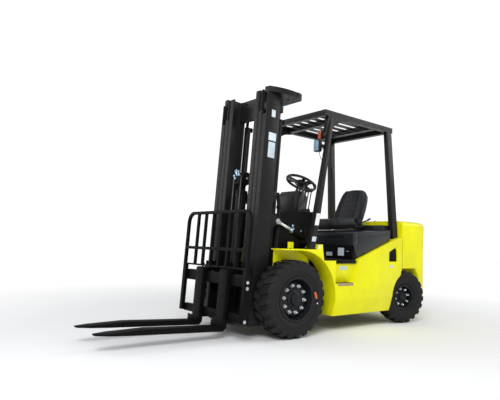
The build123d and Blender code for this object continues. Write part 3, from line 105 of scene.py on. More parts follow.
class Shader:
    """Builds one procedural material, node by node."""

    def __init__(self, name: str) -> None:
        """Start an empty material.

        Args:
            name: The material's name.
        """
        self.material = bpy.data.materials.new(name)
        self.material.use_nodes = True
        self.nodes = self.material.node_tree.nodes
        self.links = self.material.node_tree.links
        self.nodes.clear()
        self.output = self.nodes.new("ShaderNodeOutputMaterial")
        self.surface = self.nodes.new("ShaderNodeBsdfPrincipled")
        self.links.new(self.surface.outputs["BSDF"], self.output.inputs["Surface"])
        self.object_coords = self.nodes.new("ShaderNodeTexCoord").outputs["Object"]

    def feed(self, socket: Socket, value: object) -> None:
        """Set a socket, or link it where the value is another socket."""
        if isinstance(value, Socket):
            self.links.new(value, socket)
        elif isinstance(value, tuple) and len(value) == 3 and socket.type == "RGBA":
            socket.default_value = (*value, 1.0)
        else:
            socket.default_value = value

    def set(self, **values: object) -> None:
        """Set inputs of the main shader; underscores in a name stand for spaces."""
        for name, value in values.items():
            self.feed(self.surface.inputs[name.replace("_", " ")], value)

    def math(self, operation: str, *values: object, clamp: bool = False) -> Socket:
        """Add a math node.

        Args:
            operation: Its operation.
            values: Its inputs, numbers or sockets.
            clamp: Whether the result is held between 0 and 1.

        Returns:
            The result's socket.
        """
        node = self.nodes.new("ShaderNodeMath")
        node.operation = operation
        node.use_clamp = clamp
        for socket, value in zip(node.inputs, values):
            self.feed(socket, value)
        return node.outputs[0]

    def axis(self, name: str) -> Socket:
        """The X, Y or Z part of the object coordinates."""
        node = self.nodes.new("ShaderNodeSeparateXYZ")
        self.links.new(self.object_coords, node.inputs[0])
        return node.outputs[name]

    def stretched(self, scale: Point) -> Socket:
        """Object coordinates scaled by a factor along each axis."""
        node = self.nodes.new("ShaderNodeMapping")
        self.links.new(self.object_coords, node.inputs["Vector"])
        node.inputs["Scale"].default_value = scale
        return node.outputs[0]

    def noise(self, scale: float, detail: float = 3.0, roughness: float = 0.55,
              vector: Socket | None = None) -> Socket:
        """Add a noise texture on object coordinates.

        Args:
            scale: Waves per metre, roughly.
            detail: Octaves.
            roughness: Weight of the finer octaves.
            vector: Other coordinates to use.

        Returns:
            Its factor socket.
        """
        node = self.nodes.new("ShaderNodeTexNoise")
        self.links.new(vector or self.object_coords, node.inputs["Vector"])
        node.inputs["Scale"].default_value = scale
        node.inputs["Detail"].default_value = detail
        node.inputs["Roughness"].default_value = roughness
        return node.outputs["Fac"]

    def spread(self, value: object, low: float, high: float, to_low: float = 0.0,
               to_high: float = 1.0) -> Socket:
        """Map a value's range onto another range, held at its ends."""
        node = self.nodes.new("ShaderNodeMapRange")
        for socket, number in zip(node.inputs, (value, low, high, to_low, to_high)):
            self.feed(socket, number)
        return node.outputs[0]

    def mix(self, factor: object, first: object, second: object) -> Socket:
        """Mix two colours by a factor."""
        node = self.nodes.new("ShaderNodeMix")
        node.data_type = "RGBA"
        self.feed(node.inputs[0], factor)
        self.feed(node.inputs[6], first)
        self.feed(node.inputs[7], second)
        return node.outputs[2]

    def bump(self, height: Socket, depth: float, strength: float = 1.0) -> None:
        """Raise the surface by a height map, over the bumps already there.

        Args:
            height: The height map, from 0 to 1.
            depth: Its depth in metres.
            strength: Its share of full strength.
        """
        node = self.nodes.new("ShaderNodeBump")
        node.inputs["Distance"].default_value = depth
        node.inputs["Strength"].default_value = strength
        self.links.new(height, node.inputs["Height"])
        socket = self.surface.inputs["Normal"]
        if socket.links:
            self.links.new(socket.links[0].from_socket, node.inputs["Normal"])
        self.links.new(node.outputs[0], socket)


def scaled(colour: Colour, factor: float) -> Colour:
    """A lighter or darker colour."""
    return tuple(min(1.0, part * factor) for part in colour)


@dataclass(frozen=True)
class Paint:
    """Sprayed paint with faint mottling, orange peel and road dust."""

    name: str
    slot: str
    colour: Colour
    roughness: float = 0.38
    coat: float = 0.25
    peel: float = 0.00012
    dust: float = 0.12
    specular: float = 0.5
    dust_colour: Colour = (0.32, 0.29, 0.25)

    def build(self) -> bpy.types.Material:
        """Make the material."""
        shader = Shader(self.name)
        mottle = shader.noise(3.0, 4.0)
        base = shader.mix(shader.spread(mottle, 0.35, 0.65), scaled(self.colour, 0.93),
                          scaled(self.colour, 1.05))
        low = shader.spread(shader.axis("Z"), 0.05, 0.75, 1.0, 0.15)
        grime = shader.spread(shader.noise(14.0, 6.0, 0.65), 0.46, 0.72)
        film = shader.math("MULTIPLY", shader.math("MULTIPLY", low, grime), self.dust)
        shader.set(Base_Color=shader.mix(film, base, self.dust_colour), Coat_Weight=self.coat,
                   Coat_Roughness=0.12)
        gloss = shader.spread(shader.noise(22.0, 5.0), 0.3, 0.7, self.roughness - 0.05,
                              self.roughness + 0.09)
        shader.set(Roughness=gloss, Specular_IOR_Level=self.specular)
        shader.bump(shader.noise(420.0, 2.0), self.peel, 0.5)
        return shader.material


@dataclass(frozen=True)
class Rubber:
    """Tyre rubber with a dusty bloom in random patches."""

    name: str
    slot: str
    colour: Colour = (0.0078, 0.0078, 0.0088)
    bloom: Colour = (0.024, 0.0235, 0.023)

    def build(self) -> bpy.types.Material:
        """Make the material."""
        shader = Shader(self.name)
        patches = shader.spread(shader.noise(9.0, 6.0, 0.62), 0.42, 0.74)
        fine = shader.spread(shader.noise(160.0, 3.0), 0.35, 0.8)
        amount = shader.math("MULTIPLY", shader.math("ADD", patches, fine, clamp=True), 0.42)
        shader.set(Base_Color=shader.mix(amount, self.colour, self.bloom))
        shader.set(Roughness=shader.spread(patches, 0.0, 1.0, 0.62, 0.86))
        shader.set(Specular_IOR_Level=0.26)
        shader.bump(shader.noise(300.0, 4.0), 0.0004, 0.5)
        return shader.material


@dataclass(frozen=True)
class Vinyl:
    """Grained seat vinyl with a soft sheen."""

    name: str
    slot: str
    colour: Colour = (0.0070, 0.0075, 0.0090)

    def build(self) -> bpy.types.Material:
        """Make the material."""
        shader = Shader(self.name)
        cell = shader.nodes.new("ShaderNodeTexVoronoi")
        cell.feature = "DISTANCE_TO_EDGE"
        cell.inputs["Scale"].default_value = 420.0
        shader.links.new(shader.object_coords, cell.inputs["Vector"])
        grain = shader.spread(cell.outputs["Distance"], 0.0, 0.12)
        tone = shader.spread(shader.noise(11.0, 4.0), 0.3, 0.7)
        shader.set(Base_Color=shader.mix(tone, scaled(self.colour, 0.85), scaled(self.colour, 1.35)))
        shader.set(Roughness=shader.spread(tone, 0.0, 1.0, 0.42, 0.55), Sheen_Weight=0.08,
                   Specular_IOR_Level=0.30)
        shader.bump(grain, 0.0003, 0.5)
        return shader.material


@dataclass(frozen=True)
class Plastic:
    """Moulded plastic with a fine spark-eroded texture."""

    name: str
    slot: str
    colour: Colour = (0.0085, 0.0088, 0.0100)
    roughness: float = 0.48
    grain: float = 0.0002

    def build(self) -> bpy.types.Material:
        """Make the material."""
        shader = Shader(self.name)
        tone = shader.spread(shader.noise(7.0, 5.0), 0.3, 0.7)
        shader.set(Base_Color=shader.mix(tone, scaled(self.colour, 0.88), scaled(self.colour, 1.2)))
        shader.set(Roughness=shader.spread(tone, 0.0, 1.0, self.roughness - 0.06, self.roughness + 0.06))
        shader.bump(shader.noise(900.0, 2.0), self.grain, 0.6)
        return shader.material


@dataclass(frozen=True)
class Metal:
    """Bare or plated metal with fine machining marks and a little oil."""

    name: str
    slot: str
    colour: Colour = (0.62, 0.62, 0.64)
    roughness: float = 0.25
    stain: Colour = (0.18, 0.15, 0.12)
    stain_amount: float = 0.2

    def build(self) -> bpy.types.Material:
        """Make the material."""
        shader = Shader(self.name)
        marks = shader.noise(60.0, 3.0, 0.5, shader.stretched((40.0, 40.0, 1.0)))
        patches = shader.spread(shader.noise(30.0, 6.0, 0.65), 0.5, 0.75)
        amount = shader.math("MULTIPLY", patches, self.stain_amount)
        shader.set(Base_Color=shader.mix(amount, self.colour, self.stain), Metallic=1.0)
        shader.set(Roughness=shader.spread(marks, 0.3, 0.7, self.roughness * 0.75, self.roughness * 1.4))
        shader.bump(marks, 0.00005, 0.4)
        return shader.material


@dataclass(frozen=True)
class Lens:
    """Moulded lamp lens with fine flutes."""

    name: str
    slot: str
    colour: Colour = (0.62, 0.72, 0.80)
    flutes: float = 190.0
    clear: float = 0.25

    def build(self) -> bpy.types.Material:
        """Make the material."""
        shader = Shader(self.name)
        wave = shader.math("SINE", shader.math("MULTIPLY", shader.axis("X"), self.flutes * 2 * pi))
        cross = shader.math("SINE", shader.math("MULTIPLY", shader.axis("Z"), self.flutes * 2 * pi))
        weave = shader.spread(shader.math("ADD", wave, cross), -2.0, 2.0)
        shader.set(Base_Color=shader.mix(weave, scaled(self.colour, 0.72), self.colour), Roughness=0.1,
                   Coat_Weight=0.6, Transmission_Weight=self.clear)
        shader.bump(weave, 0.0006, 0.6)
        return shader.material


class Finish(Enum):
    """Every finish on the truck."""

    YELLOW = Paint("body_yellow", "body_paint", (0.86, 0.83, 0.003), 0.34, 0.06, 0.00008, 0.01, 0.26)
    MAST = Paint("mast_charcoal", "mast_paint", (0.0115, 0.0112, 0.0115), 0.42, 0.03, 0.00022, 0.03, 0.17)
    FORK = Paint("fork_black", "mast_paint", (0.0030, 0.0030, 0.0034), 0.58, 0.01, 0.00022, 0.0, 0.10)
    GUARD = Paint("guard_charcoal", "guard_paint", (0.0145, 0.0125, 0.0115), 0.42, 0.04, 0.0002, 0.02, 0.22)
    HOOD = Paint("hood_slate", "hood_paint", (0.0160, 0.0172, 0.0205), 0.34, 0.10, 0.00015, 0.01, 0.40)
    FRAME = Paint("frame_black", "frame_paint", (0.0042, 0.0042, 0.0046), 0.50, 0.02, 0.0002, 0.01, 0.12)
    WHEEL = Paint("wheel_slate", "wheel_paint", (0.0085, 0.0105, 0.0130), 0.40, 0.05, 0.00015, 0.02, 0.20)
    TYRE = Rubber("tyre_black", "tyre_rubber")
    HOSE = Rubber("hose_black", "tyre_rubber", (0.008, 0.008, 0.009), (0.020, 0.020, 0.020))
    SEAT = Vinyl("seat_black", "seat_vinyl")
    PLASTIC = Plastic("plastic_black", "cabin_plastic")
    GRIP = Plastic("grip_plastic", "cabin_plastic", (0.0065, 0.0065, 0.0072), 0.38)
    PLATE = Plastic("blank_plate", "cabin_plastic", (0.56, 0.64, 0.70), 0.34, 0.00004)
    WHITE = Plastic("white_plastic", "cabin_plastic", (0.78, 0.78, 0.76), 0.32, 0.00005)
    RED = Plastic("red_plastic", "cabin_plastic", (0.55, 0.020, 0.012), 0.30, 0.00005)
    ORANGE = Plastic("orange_mark", "tyre_rubber", (0.72, 0.17, 0.020), 0.55, 0.0001)
    STRIP = Plastic("anti_slip", "cabin_plastic", (0.36, 0.27, 0.24), 0.85, 0.0009)
    FITTING = Metal("zinc_blue", "chain_steel", (0.42, 0.55, 0.66), 0.32, (0.2, 0.2, 0.2), 0.1)
    CHROME = Metal("rod_chrome", "rod_chrome", (0.70, 0.70, 0.72), 0.12, (0.3, 0.3, 0.3), 0.1)
    STEEL = Metal("bright_steel", "chain_steel", (0.66, 0.67, 0.68), 0.26)
    CHAIN = Metal("oiled_chain", "chain_steel", (0.085, 0.082, 0.080), 0.42, (0.03, 0.028, 0.025), 0.6)
    IRON = Metal("dull_iron", "engine_iron", (0.10, 0.10, 0.10), 0.6, (0.05, 0.04, 0.03), 0.6)
    CLEAR_LENS = Lens("headlamp_lens", "lamp_clear", (0.36, 0.52, 0.72))
    AMBER_LENS = Lens("turn_lamp_lens", "lamp_amber", (0.62, 0.075, 0.015), 160.0, 0.15)

    def material(self) -> bpy.types.Material:
        """The finish's material, made once."""
        known = bpy.data.materials.get(self.value.name)
        return known or self.value.build()


def deselect() -> None:
    """Leave nothing selected."""
    if bpy.context.object and bpy.context.object.mode != "OBJECT":
        bpy.ops.object.mode_set(mode="OBJECT")
    bpy.ops.object.select_all(action="DESELECT")


def select(*pieces: Piece) -> None:
    """Select these pieces alone; the last becomes active."""
    deselect()
    for piece in pieces:
        piece.select_set(True)
        bpy.context.view_layer.objects.active = piece


def settle(piece: Piece) -> Piece:
    """Put a piece's place into its mesh and leave its object at the origin."""
    select(piece)
    bpy.ops.object.transform_apply(location=True, rotation=True, scale=True)
    return piece


@contextmanager
def editing(piece: Piece) -> Iterator[None]:
    """Edit a piece's mesh with all of it selected."""
    select(piece)
    bpy.ops.object.mode_set(mode="EDIT")
    bpy.ops.mesh.select_all(action="SELECT")
    yield
    bpy.ops.object.mode_set(mode="OBJECT")


def flip(piece: Piece, side: int = -1) -> Piece:
    """Mirror a piece's mesh across the truck's middle where the side is -1."""
    if side < 0:
        piece.data.transform(Matrix.Scale(side, 4, X_AXIS))
        piece.data.flip_normals()
    return piece


def stand(name: str, data: bpy.types.ID) -> Piece:
    """Add an object with this mesh, curve, camera or light to the scene."""
    piece = bpy.data.objects.new(name, data)
    bpy.context.scene.collection.objects.link(piece)
    return piece


def twin_of(piece: Piece) -> Piece:
    """A copy of a piece with a mesh of its own."""
    return stand(piece.name, piece.data.copy())


def apply_modifiers(piece: Piece) -> Piece:
    """Apply each modifier of a piece in order."""
    select(piece)
    for name in [modifier.name for modifier in piece.modifiers]:
        bpy.ops.object.modifier_apply(modifier=name)
    return piece


def shade(piece: Piece, angle: float) -> Piece:
    """Shade a piece smooth across edges that turn by less than an angle in degrees."""
    select(piece)
    bpy.ops.object.shade_smooth_by_angle(angle=radians(angle))
    return piece


def soften(piece: Piece, width: float, segments: int = 2, angle: float = 32.0) -> Piece:
    """Round a piece's edges and shade it smooth between them.

    Args:
        piece: The piece.
        width: The rounding's width in metres, or 0 for none.
        segments: Faces across each rounding.
        angle: Edges sharper than this many degrees are rounded.

    Returns:
        The piece.
    """
    if width > 0:
        bevel = piece.modifiers.new("rounding", "BEVEL")
        bevel.width = width
        bevel.segments = segments
        bevel.limit_method = "ANGLE"
        bevel.angle_limit = radians(angle)
        bevel.use_clamp_overlap = True
        bevel.miter_outer = "MITER_ARC"
        apply_modifiers(piece)
    return shade(piece, angle + 6.0)


def finish_piece(piece: Piece, name: str, finish: Finish, body: str = "chassis",
                 replaces: tuple[str, ...] = (), place: Matrix | None = None) -> None:
    """Name, paint and hand a finished piece to the body it rides on.

    Args:
        piece: The piece, drawn upright from the ground below the front axle.
        name: Its name.
        finish: Its finish.
        body: The body that carries it, or nothing for a piece that rides on no body.
        replaces: Nodes that it stands for.
        place: What carries it from there to its parked place, where that isn't the lean of the mast or the plain
            step to the truck.
    """
    settle(piece)
    piece.data.transform(place or (MAST if body in LEANING else TRUCK))
    piece.name = name
    piece.data.name = name
    piece.data.materials.clear()
    piece.data.materials.append(finish.material())
    if body:
        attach(piece, body)
    if replaces:
        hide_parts(*replaces)
    LOG.info("%s: %d faces on %s", name, len(piece.data.polygons), body)


def box(low: Point, high: Point) -> Piece:
    """A block between two corners, ready to be shaped."""
    deselect()
    centre = (Vector(low) + Vector(high)) / 2
    size = Vector(high) - Vector(low)
    bpy.ops.mesh.primitive_cube_add(size=1.0, location=centre, scale=size)
    piece = bpy.context.object
    return settle(piece)


def fine_cube(cuts: int) -> Piece:
    """A unit cube around the origin, cut finely enough to be shaped vertex by vertex."""
    piece = box((-0.5, -0.5, -0.5), (0.5, 0.5, 0.5))
    with editing(piece):
        bpy.ops.mesh.subdivide(number_cuts=cuts)
    return piece


def turned_to(axis: Vector) -> Point:
    """Euler angles that turn +Z onto an axis."""
    return axis.to_track_quat("Z", "Y").to_euler()


def cylinder(start: Point, end: Point, radius: float, sides: int = 24,
             end_radius: float | None = None) -> Piece:
    """A round bar or cone between two points, ready to be shaped."""
    deselect()
    run = Vector(end) - Vector(start)
    bpy.ops.mesh.primitive_cone_add(
        vertices=sides, radius1=radius, radius2=radius if end_radius is None else end_radius,
        depth=run.length, location=(Vector(start) + Vector(end)) / 2, rotation=turned_to(run))
    return settle(bpy.context.object)


def ring(centre: Point, axis: Point, radius: float, thickness: float, sides: int = 48,
         minor: int = 8) -> Piece:
    """A round ring about an axis."""
    deselect()
    bpy.ops.mesh.primitive_torus_add(
        location=centre, rotation=turned_to(Vector(axis)), major_radius=radius, minor_radius=thickness,
        major_segments=sides, minor_segments=minor)
    return settle(bpy.context.object)


def join(pieces: list[Piece]) -> Piece:
    """Join pieces into the last one."""
    select(*pieces)
    bpy.ops.object.join()
    return bpy.context.object


def hex_head(centre: Point, axis: Point, radius: float, height: float) -> Piece:
    """A hexagon bolt head with a washer face and a rounded crown."""
    centre, axis = Vector(centre), Vector(axis).normalized()
    washer = cylinder(centre, centre + axis * height * 0.2, radius * 1.25, 16)
    head = cylinder(centre + axis * height * 0.1, centre + axis * height, radius, 6)
    soften(head, radius * 0.12, 1)
    return join([washer, head])


def tube(points: list[Point], radius: float) -> Piece:
    """A round tube as a mesh, along the smooth line that a few points control."""
    curve = bpy.data.curves.new("line", "CURVE")
    curve.dimensions = "3D"
    spline = curve.splines.new("NURBS")
    spline.points.add(len(points) - 1)
    for target, point in zip(spline.points, points):
        target.co = (*point, 1.0)
    spline.order_u = 3
    spline.use_endpoint_u = True
    curve.resolution_u = 10
    curve.bevel_depth = radius
    curve.bevel_resolution = 4
    curve.use_fill_caps = True
    select(stand("line", curve))
    bpy.ops.object.convert(target="MESH")
    bpy.ops.object.shade_smooth()
    return bpy.context.object


def surface_area(mesh: bpy.types.Mesh) -> float:
    """A mesh's area, summed over its triangles."""
    mesh.calc_loop_triangles()
    return sum(triangle.area for triangle in mesh.loop_triangles)


def merge_faces(piece: Piece) -> None:
    """Merge a skin's loose triangles into flat faces, or into quads where a flat face has a hole."""
    whole = surface_area(piece.data)
    loose = piece.data.copy()
    for flat in (True, False):
        with editing(piece):
            bpy.ops.mesh.remove_doubles(threshold=SAME_POINT)
            if flat:
                bpy.ops.mesh.dissolve_limited(angle_limit=COPLANAR)
            else:
                bpy.ops.mesh.tris_convert_to_quads(face_threshold=QUAD_BEND, shape_threshold=QUAD_SKEW)
        if abs(surface_area(piece.data) / whole - 1) < SAME_AREA:
            return
        if flat:
            piece.data = loose


def round_crown(piece: Piece, width: float) -> None:
    """Round a block's top edges broadly, apart from its front one.

    Args:
        piece: The piece.
        width: The rounding's width in metres.
    """
    top = max(vertex.co.z for vertex in piece.data.vertices)
    for step in range(1, CROWN_STEPS):
        with editing(piece):
            level = top - width + width * (1 - cos(pi / 2 * step / CROWN_STEPS))
            bpy.ops.mesh.bisect(plane_co=(0, 0, level), plane_no=UP)
    outline = [vertex.co for vertex in piece.data.vertices if vertex.co.z > top - width]
    half = max(place.x for place in outline)
    front, back = min(place.y for place in outline), max(place.y for place in outline)
    for place in (vertex.co for vertex in piece.data.vertices if vertex.co.z > top - width):
        share = min(1.0, (place.z - top + width) / width)
        move = width * (1 - (1 - share ** 2) ** 0.5)
        place.x *= 1 - move / half
        place.y -= move * (place.y - front) / (back - front)


def dress(node: str, finish: Finish, width: float) -> None:
    """Stand a rounded, painted skin for a node.

    It has the node's shape, apart from the counterweight's broadly rounded top and the cowl's wings, which stand
    further in so that the tilt cylinders show.

    Args:
        node: The node's name.
        finish: Its finish.
        width: The rounding of its edges in metres, or 0 where its faces stay as they are.
    """
    source = frame["nodes"][node]
    piece = twin_of(source)
    select(piece)
    if piece.data.has_custom_normals:
        bpy.ops.mesh.customdata_custom_splitnormals_clear()
    if width:
        merge_faces(piece)
    if node == "counterweight":
        round_crown(piece, CROWN)
    if node == "front_cowl":
        for place in (vertex.co for vertex in piece.data.vertices):
            if abs(place.x) > WING_X and place.y < WING_BACK:
                place.x -= WING_SHIFT if place.x > 0 else -WING_SHIFT
    soften(piece, width)
    finish_piece(piece, f"{node}_skin", finish, source["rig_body"], (node,), PARKED)


def body_of(node: str) -> str:
    """The body that a node rides on."""
    return frame["nodes"][node]["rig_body"]


def slab(low: Point, high: Point, rounding: float = 0.002, segments: int = 2) -> Piece:
    """A block with rounded edges between two corners."""
    return soften(box(low, high), rounding, segments)


def inset(piece: Piece, normal: Point, border: float, depth: float) -> Piece:
    """Inset the faces that look one way and move their middle along that way.

    Args:
        piece: The piece.
        normal: The way that the faces look.
        border: The width of the frame that is left around them.
        depth: How far the middle is raised, or sunk where it is below zero.

    Returns:
        The piece.
    """
    with editing(piece):
        bpy.ops.mesh.select_mode(type="FACE")
        bpy.ops.mesh.select_all(action="DESELECT")
    for face in piece.data.polygons:
        face.select = face.normal.dot(Vector(normal)) > FACING
    bpy.ops.object.mode_set(mode="EDIT")
    bpy.ops.mesh.inset(thickness=border, depth=0.0)
    bpy.ops.mesh.inset(thickness=min(border, abs(depth)) * 0.5, depth=depth)
    bpy.ops.object.mode_set(mode="OBJECT")
    return piece


def slant(piece: Piece, height: float, out: float, back: float) -> Piece:
    """Lean a piece from a height upwards by a slope sideways and a slope backwards."""
    for vertex in piece.data.vertices:
        rise = vertex.co.z - height
        vertex.co.x += out * rise
        vertex.co.y += back * rise
    return piece


def blank_plate(low: Point, high: Point, normal: Point = (1, 0, 0)) -> Piece:
    """A thin label plate with a raised rim and nothing on it."""
    return inset(slab(low, high, 0.0004, 1), normal, 0.006, -0.0003)


def copies(piece: Piece, moves: list[Matrix]) -> Piece:
    """Join copies of a piece, one for each move, and drop the first one."""
    twins = [twin_of(piece) for _ in moves]
    for twin, move in zip(twins, moves):
        twin.data.transform(move)
    bpy.data.objects.remove(piece)
    return join(twins)


def shifts(points: list[Point]) -> list[Matrix]:
    """Moves from the origin to each of these points."""
    return [Matrix.Translation(point) for point in points]


def row(piece: Piece, step: Point, count: int) -> Piece:
    """Copies of a piece at equal steps."""
    return copies(piece, shifts([Vector(step) * index for index in range(count)]))


def bolts(points: list[Point], axis: Point, radius: float, height: float) -> Piece:
    """Hexagon heads at a row of points."""
    return copies(hex_head((0.0, 0.0, 0.0), axis, radius, height), shifts(points))


def around(count: int, start: float = 0.0) -> list[Matrix]:
    """Turns about the X axis, evenly spread over a full circle."""
    return [Matrix.Rotation(start + 2 * pi * index / count, 4, "X") for index in range(count)]


def mirrored_pair(piece: Piece) -> Piece:
    """Join a piece and its mirror image on the truck's other side."""
    return join([piece, flip(twin_of(piece))])


def finish_pair(piece: Piece, name: str, finish: Finish, body: str = "chassis") -> None:
    """Finish a piece together with its mirror image on the truck's other side."""
    finish_piece(mirrored_pair(piece), name, finish, body)


@dataclass
class Studio:
    """Camera, floor and soft light."""

    eye: Point = (3.9074, -3.2530, 0.8585)
    yaw: float = radians(48.4)
    pitch: float = radians(4.2)
    roll: float = radians(1.9)
    lens: float = 35.16
    sensor: float = 36.0
    shift: tuple[float, float] = (-0.0944, 0.0146)
    sight: float = 200.0
    aim: Point = (0.0, 0.3, 0.9)
    floor_half: float = 40.0
    white_from: float = 2.4
    white_at: float = 5.0

    def build(self) -> None:
        """Set up the whole studio."""
        scene = bpy.context.scene
        scene.view_settings.view_transform = "Standard"
        self.camera()
        self.floor()
        self.world()
        self.lamp("key", (4.5, -4.5, 5.0), 3.2, 330.0)
        self.lamp("fill", (-5.0, -5.0, 3.5), 4.0, 120.0)
        self.lamp("rear", (3.5, 5.5, 4.5), 3.5, 120.0)

    def camera(self) -> None:
        """Place the camera where the photograph was taken from."""
        look = Vector((-sin(self.yaw) * cos(self.pitch), cos(self.yaw) * cos(self.pitch), sin(self.pitch)))
        level = Vector((cos(self.yaw), sin(self.yaw), 0.0))
        above = level.cross(look)
        right = level * cos(self.roll) + above * sin(self.roll)
        top = above * cos(self.roll) - level * sin(self.roll)
        turn = Matrix((right, top, -look)).transposed().to_4x4()
        data = bpy.data.cameras.new("camera")
        data.lens = self.lens
        data.sensor_width = self.sensor
        data.shift_x, data.shift_y = self.shift
        data.clip_end = self.sight
        camera = stand("camera", data)
        camera.matrix_world = Matrix.Translation(self.eye) @ turn
        bpy.context.scene.camera = camera

    def floor(self) -> None:
        """Lay a pale floor that turns to plain white away from the truck."""
        deselect()
        bpy.ops.mesh.primitive_plane_add(size=2 * self.floor_half)
        floor = bpy.context.object
        floor.name = "floor"
        shader = Shader("pale_floor")
        reach = shader.nodes.new("ShaderNodeVectorMath")
        reach.operation = "LENGTH"
        shader.links.new(shader.object_coords, reach.inputs[0])
        far = shader.spread(reach.outputs["Value"], self.white_from, self.white_at)
        shader.set(Base_Color=(0.93, 0.93, 0.93), Roughness=0.9)
        glow = shader.nodes.new("ShaderNodeEmission")
        glow.inputs["Strength"].default_value = 1.0
        path = shader.nodes.new("ShaderNodeLightPath")
        seen = shader.math("ADD", path.outputs["Is Camera Ray"], path.outputs["Is Glossy Ray"], clamp=True)
        blend = shader.nodes.new("ShaderNodeMixShader")
        shader.feed(blend.inputs[0], shader.math("MULTIPLY", seen, far))
        shader.links.new(shader.surface.outputs["BSDF"], blend.inputs[1])
        shader.links.new(glow.outputs[0], blend.inputs[2])
        shader.links.new(blend.outputs[0], shader.output.inputs["Surface"])
        floor.data.materials.append(shader.material)

    def world(self) -> None:
        """Light the truck from a plain sky that the camera sees as white."""
        world = bpy.data.worlds.new("studio")
        bpy.context.scene.world = world
        world.use_nodes = True
        nodes, links = world.node_tree.nodes, world.node_tree.links
        sky = nodes["Background"]
        sky.inputs["Color"].default_value = (0.95, 0.97, 1.0, 1.0)
        path = nodes.new("ShaderNodeLightPath")
        seen = nodes.new("ShaderNodeMath")
        seen.operation = "MAXIMUM"
        links.new(path.outputs["Is Camera Ray"], seen.inputs[0])
        links.new(path.outputs["Is Transmission Ray"], seen.inputs[1])
        strength = nodes.new("ShaderNodeMapRange")
        strength.inputs["To Min"].default_value = 0.52
        strength.inputs["To Max"].default_value = 1.1
        links.new(seen.outputs[0], strength.inputs["Value"])
        links.new(strength.outputs[0], sky.inputs["Strength"])

    def lamp(self, name: str, place: Point, size: float, power: float) -> None:
        """Hang one soft square lamp that faces the truck."""
        data = bpy.data.lights.new(name, "AREA")
        data.size = size
        data.energy = power
        lamp = stand(name, data)
        lamp.location = place
        lamp.rotation_euler = (Vector(self.aim) - Vector(place)).to_track_quat("-Z", "Y").to_euler()


@dataclass
class PlainNodes:
    """Nodes whose own shape is right: each gets its finish, and rounded edges where its width is above zero."""

    skins: tuple[tuple[Finish, float, str], ...] = (
        (Finish.FRAME, 0.003, "chassis_frame"),
        (Finish.YELLOW, 0.008, "side_body_left side_body_right"),
        (Finish.YELLOW, 0.018, "counterweight"),
        (Finish.FRAME, 0.002, "floor_plate"),
        (Finish.YELLOW, 0.002, "step_treads"),
        (Finish.FRAME, 0.002, "front_cowl tilt_anchors"),
        (Finish.PLASTIC, 0.012, "dash_console"),
        (Finish.PLASTIC, 0.002, "steering_column"),
        (Finish.GRIP, 0.001, "hydraulic_levers"),
        (Finish.FRAME, 0.002, "kick_panel"),
        (Finish.HOOD, 0.012, "hood"),
        (Finish.HOOD, 0.008, "radiator_cover"),
        (Finish.IRON, 0.01, "engine_block transmission"),
        (Finish.GUARD, 0.0, "guard_roof"),
        (Finish.GUARD, 0.008, "guard_front_legs guard_rear_legs"),
        (Finish.GRIP, 0.004, "headlamps"),
        (Finish.GRIP, 0.003, "turn_lamps"),
        (Finish.FRAME, 0.003, "drive_axle steer_axle"),
        (Finish.FRAME, 0.002, "knuckle_left knuckle_right"),
        (Finish.FRAME, 0.001, "track_rod"),
        (Finish.PLASTIC, 0.006, "seat_base"),
        (Finish.GRIP, 0.002, "steering_wheel"),
        (Finish.WHEEL, 0.002, "rim_front_left rim_front_right rim_rear_left rim_rear_right"),
        (Finish.MAST, 0.003, "mast_saddles mast_outer_rails mast_outer_beams mast_middle_rails"),
        (Finish.MAST, 0.0, "mast_middle_beams"),
        (Finish.MAST, 0.003, "mast_inner_rails mast_inner_beams"),
        (Finish.MAST, 0.002, "lift_cylinder_barrels"),
        (Finish.CHROME, 0.001, "lift_cylinder_rods"),
        (Finish.MAST, 0.002, "free_lift_barrel"),
        (Finish.FORK, 0.001, "free_lift_rod"),
        (Finish.FORK, 0.003, "fork_carriage load_backrest"),
        (Finish.FORK, 0.004, "fork_left fork_right"),
        (Finish.FORK, 0.002, "tilt_barrels"),
        (Finish.CHROME, 0.001, "tilt_rods"),
    )

    def build(self) -> None:
        """Dress every listed node."""
        for finish, width, nodes in self.skins:
            for node in nodes.split():
                dress(node, finish, width)


